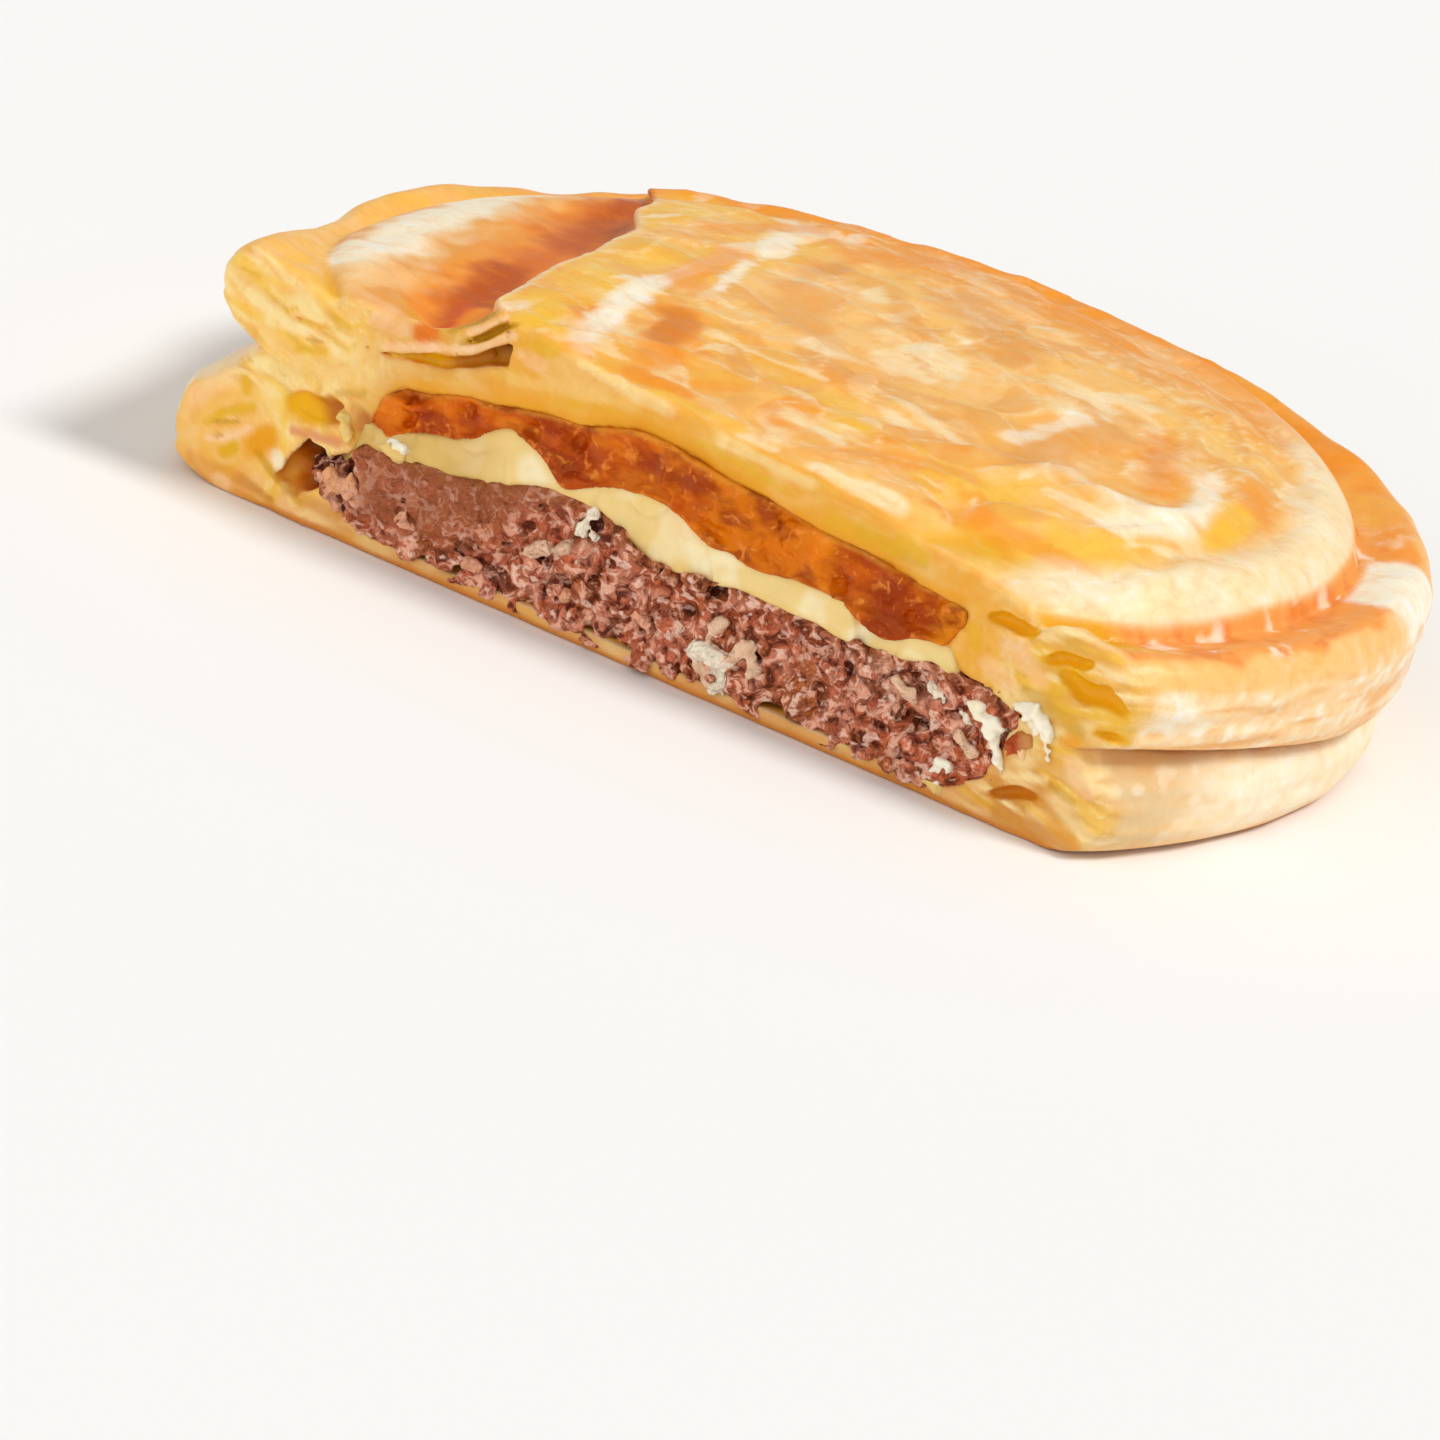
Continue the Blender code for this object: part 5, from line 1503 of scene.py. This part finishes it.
def make_relish(look):
    """The relish: a lumpy slab over the cheese, which sags in front of it at the cut."""
    lines, (x, y, x3, y3, z3) = filling_space(11.0, 25.0, 0.28)
    inner = np.hypot(x - FILLING_SHIFT, y)
    bottom = cheese_top(x, y) - TOUCH - inward(y, 2.4, 1.6) * relish_sag(x)
    field = meet(inner[..., None] - RELISH_RADIUS, z3 - relish_top(x, y)[..., None], 0.3)
    field = meet(field, bottom[..., None] - z3, 0.3)

    block = np.broadcast_arrays(*near_cut(lines, x3, y3, z3, RELIEF_REACH))
    lower = smooth(block[2] - cheese_top(*block[:2]), 0.8, -0.3)
    lumps = 1.1 * ripple(*block, 3.2) + 0.6 * ripple(*block, 1.5) + 0.15 * ripple(*block, 0.7)
    past_end = 3.0 * smooth(past_relish(block[0], block[2]), 0.0, 0.7)
    relief = lumps * (1.0 - 0.7 * lower) - 0.55 * lower + past_end
    sagging = 0.3 * ripple(*block, 2.6) * lower
    cut_filling(field, lines, RELISH_PROUD, relief, sagging, 0.4, 0.5)
    relish, vertices = skinned("tomato_relish", field, lines, look, "relish", "relish")
    x, y, z = vertices.T
    patches = ripple(x * 0.6, y, z, 2.6)
    bright = smooth(x, 2.0, 6.0) * smooth(x, 21.0, 17.0)
    paint(relish, "tint", tinted(
        shade(206, 88, 2),
        (shade(236, 130, 6), bright),
        (shade(166, 50, 0), (0.8 - 0.5 * bright) * smooth(patches, 0.0, 0.5)),
        (shade(234, 130, 20), 0.6 * smooth(patches, -0.15, -0.55)),
        (shade(150, 38, 0), 0.85 * spot(x, z, (25.0, 15.6), 3.4)),
        (shade(160, 48, 0), 0.6 * spot(x, z, (-9.0, 17.5), 4.5)),
        (shade(150, 40, 0), 0.6 * spot(x, z, (-1.0, 18.0), 3.0)),
        (shade(230, 136, 10), 0.85 * smooth(x, 28.6, 31.0)),
        (shade(216, 150, 50), 0.6 * smooth(relish_top(x, y) - z, 0.7, 0.1)),
        # painted shade: darker the deeper a point lies behind the cut
        (shade(120, 30, 0), 0.7 * inward(y, 0.9, 2.2)),
    ))


# Loose bits at the cut: start and end (x, z), radius, how far they stand out, and which tint they have
CREAMY, CHEESY, REDDISH = WHITE_CREAM, shade(236, 200, 120), shade(176, 66, 10)
PALE_FAT, NUGGET, FAT = shade(240, 176, 140), shade(240, 174, 126), shade(242, 204, 170)
CHEESE_BITS = (
    ((36.4, 11.0), (37.4, 10.0), 0.75, 0.3, CREAMY), ((37.4, 10.0), (38.8, 8.4), 0.85, 0.3, CREAMY),
    ((38.8, 8.4), (39.4, 7.2), 0.55, 0.4, CREAMY), ((39.4, 7.2), (40.2, 5.6), 0.36, 0.5, CREAMY),
    ((37.2, 11.2), (38.8, 9.6), 0.45, 0.6, CREAMY), ((38.2, 8.2), (38.4, 6.6), 0.36, 0.4, PALE_FAT),
    ((40.4, 12.4), (42.0, 12.6), 0.62, 0.2, CREAMY), ((42.0, 12.6), (43.2, 11.6), 0.66, 0.3, CREAMY),
    ((43.2, 11.6), (43.8, 10.0), 0.46, 0.3, CREAMY), ((43.8, 10.0), (44.3, 8.6), 0.34, 0.3, CREAMY),
    ((41.2, 12.0), (42.4, 11.0), 0.42, 0.5, CREAMY), ((40.2, 8.2), (40.9, 8.5), 0.72, -0.3, REDDISH),
    ((41.3, 9.4), (42.0, 9.3), 0.52, 0.0, REDDISH), ((40.8, 8.9), (41.8, 8.0), 0.26, 0.4, SHEET_PINK),
    ((33.8, 3.2), (35.2, 3.4), 0.62, 0.3, CREAMY), ((34.2, 3.9), (34.4, 2.2), 0.52, 0.4, CREAMY),
    ((33.4, 1.9), (34.6, 1.6), 0.62, -0.1, CHEESY), ((-35.2, 12.6), (-34.4, 11.2), 0.70, -0.3, CHEESY),
    ((-30.2, 11.8), (-28.6, 11.2), 0.75, 0.1, CHEESY), ((-29.8, 12.4), (-28.2, 12.0), 0.60, 0.2, CREAMY),
)
BEEF_BITS = (
    ((-12.2, 7.6), (-10.4, 8.4), 0.64, 0.9, FAT), ((-10.4, 8.4), (-8.4, 9.4), 0.54, 0.9, FAT),
    ((-7.5, 11.4), (-7.1, 13.2), 0.50, 0.4, CREAMY), ((-7.0, 12.4), (-5.8, 11.2), 0.40, 0.5, CREAMY),
    ((7.6, 4.8), (10.4, 4.8), 1.10, 0.8, CREAMY), ((9.4, 4.6), (10.4, 2.4), 0.85, 0.8, CREAMY),
    ((8.0, 3.6), (9.6, 2.6), 0.75, 0.8, FAT), ((10.8, 5.4), (12.4, 7.4), 0.70, 0.8, FAT),
    ((8.2, 6.6), (9.0, 8.4), 0.55, 0.8, FAT), ((12.6, 6.2), (13.4, 4.9), 0.50, 0.8, FAT),
    ((35.2, 9.6), (36.2, 8.6), 0.60, -0.3, CREAMY), ((35.2, 7.4), (37.2, 6.4), 0.44, 0.5, FAT),
    ((31.4, 10.6), (32.6, 10.2), 0.56, -0.3, CREAMY), ((27.6, 10.0), (29.8, 8.8), 0.42, 0.5, FAT),
    ((-35.4, 6.4), (-34.4, 5.4), 0.90, 0.1, NUGGET), ((-34.6, 4.4), (-34.0, 3.6), 0.70, 0.1, PALE_FAT),
    ((-33.8, 6.0), (-32.6, 5.8), 0.80, 0.3, PALE_FAT), ((-33.2, 6.8), (-32.8, 6.2), 0.50, 0.4, NUGGET),
    ((-27.0, 5.4), (-26.2, 4.8), 0.60, 0.1, PALE_FAT), ((-18.6, 3.8), (-17.8, 3.4), 0.55, 0.1, PALE_FAT),
    ((-8.6, 4.6), (-7.8, 4.2), 0.62, 0.1, PALE_FAT), ((0.2, 5.6), (1.2, 5.0), 0.66, 0.1, PALE_FAT),
)


def make_bits(name, bits, look, slot_name):
    """Crumbs and strings that stick to the cut face: rods with a rough skin, in one piece."""
    ends = [point for start, end, *_ in bits for point in (start, end)]
    low, high = np.min(ends, axis=0) - 1.8, np.max(ends, axis=0) + 1.8
    spacing = 0.2
    xs = grid((low[0], high[0], spacing))
    ys = grid((-CUT_OFFSET - 2.6, -CUT_OFFSET + 2.0, spacing))
    zs = grid((low[1], high[1], spacing))
    field = np.full((len(xs), len(ys), len(zs)), 4.0, np.float32)
    for start, end, radius, out, _ in bits:
        (left, right), (bottom, top) = np.sort(np.transpose((start, end))) + (-2.0, 2.0)
        near_x = slice(*np.searchsorted(xs, (left, right)))
        near_z = slice(*np.searchsorted(zs, (bottom, top)))
        x, y, z = np.meshgrid(xs[near_x], ys, zs[near_z], indexing="ij")
        rod = np.sqrt(from_line(x, z, start, end) ** 2 + (y + CUT_OFFSET + 0.1 + 0.4 * out) ** 2)
        rod = rod - radius + (0.55 * ripple(x, y, z, 1.1) + 0.30 * ripple(x, y, z, 0.5))
        field[near_x, :, near_z] = join(field[near_x, :, near_z], rod, 0.15)
    vertices, faces = skin(field, (xs, ys, zs))
    piece = mesh_piece(name, vertices, faces, look, slot_name)
    x, _, z = vertices.T
    apart = np.stack([from_line(x, z, start, end) - radius for start, end, radius, *_ in bits])
    paint(piece, "tint", np.array([color for *_, color in bits])[apart.argmin(axis=0)])
    paint(piece, "rough", np.full(len(vertices), 0.20))


# ---- camera, floor and light -----------------------------------------------------------------------------

CAMERA_PLACE = (211.95, -519.63, 205.46)
LENS_ANGLE = 14.0


def add_camera():
    """The photograph's viewpoint, worked out from the pie's outline: a long lens, rolled as the pie leans."""
    data = bpy.data.cameras.new("photo_camera")
    data.sensor_fit = "HORIZONTAL"
    data.angle = math.radians(LENS_ANGLE)
    data.clip_start = 0.05
    camera = bpy.data.objects.new("photo_camera", data)
    right = Vector((0.85592, 0.45809, 0.23991))
    down = Vector((0.37429, -0.22869, -0.89867))
    forward = Vector((-0.35681, 0.85898, -0.36720))
    turn = Matrix((right, -down, -forward)).transposed().to_4x4()
    camera.matrix_world = Matrix.Translation(Vector(CAMERA_PLACE) * MM) @ turn
    bpy.context.scene.collection.objects.link(camera)
    bpy.context.scene.camera = camera


def add_floor():
    look = Look("studio floor")
    pale = (0.93, 0.93, 0.93, 1.0)
    look.fill(look.shader, {"Base Color": pale, "Roughness": 0.9, "Specular IOR Level": 0.1})
    mesh = bpy.data.meshes.new("studio_floor")
    half = 6.0
    corners = [(-half, -half, 0.0), (half, -half, 0.0), (half, half, 0.0), (-half, half, 0.0)]
    mesh.from_pydata(corners, [], [(0, 1, 2, 3)])
    mesh.materials.append(look.material)
    floor = bpy.data.objects.new("studio_floor", mesh)
    bpy.context.scene.collection.objects.link(floor)


def add_light(name, direction, spread, power, color):
    """A soft lamp, far off in a direction, whose light falls evenly over the pie and the floor."""
    data = bpy.data.lights.new(name, "SUN")
    data.angle = math.radians(spread)
    data.energy = power
    data.color = color
    lamp = bpy.data.objects.new(name, data)
    lamp.rotation_euler = Vector(direction).to_track_quat("Z", "Y").to_euler()
    bpy.context.scene.collection.objects.link(lamp)


def add_studio():
    """A pale surround, a key lamp from the right, a soft fill from the front, and plain screen colours."""
    world = bpy.data.worlds.new("studio")
    world.use_nodes = True
    background = world.node_tree.nodes["Background"]
    background.inputs["Color"].default_value = (1.0, 0.985, 0.96, 1.0)
    background.inputs["Strength"].default_value = 0.45
    bpy.context.scene.world = world
    add_light("key", (0.55, 0.15, 0.80), 16.0, 1.7, (1.0, 0.98, 0.95))
    add_light("fill", (-0.10, -0.90, 0.45), 60.0, 1.0, (1.0, 1.0, 1.0))
    view = bpy.context.scene.view_settings
    view.view_transform = "Standard"
    view.look = "None"
    view.exposure = 0.0
    view.gamma = 1.0


add_camera()
add_floor()
add_studio()
make_lid(pastry_look("baked lid", 0.18, 1.0))
make_base(pastry_look("baked base", 0.05, 0.6))
minced_beef, cheese_shine = beef_look(), cheese_look()
make_patty(minced_beef)
make_cheese(cheese_shine)
make_relish(relish_look())
make_bits("cheese_strings", CHEESE_BITS, cheese_shine, "cheese")
make_bits("beef_crumbs", BEEF_BITS, minced_beef, "beef")
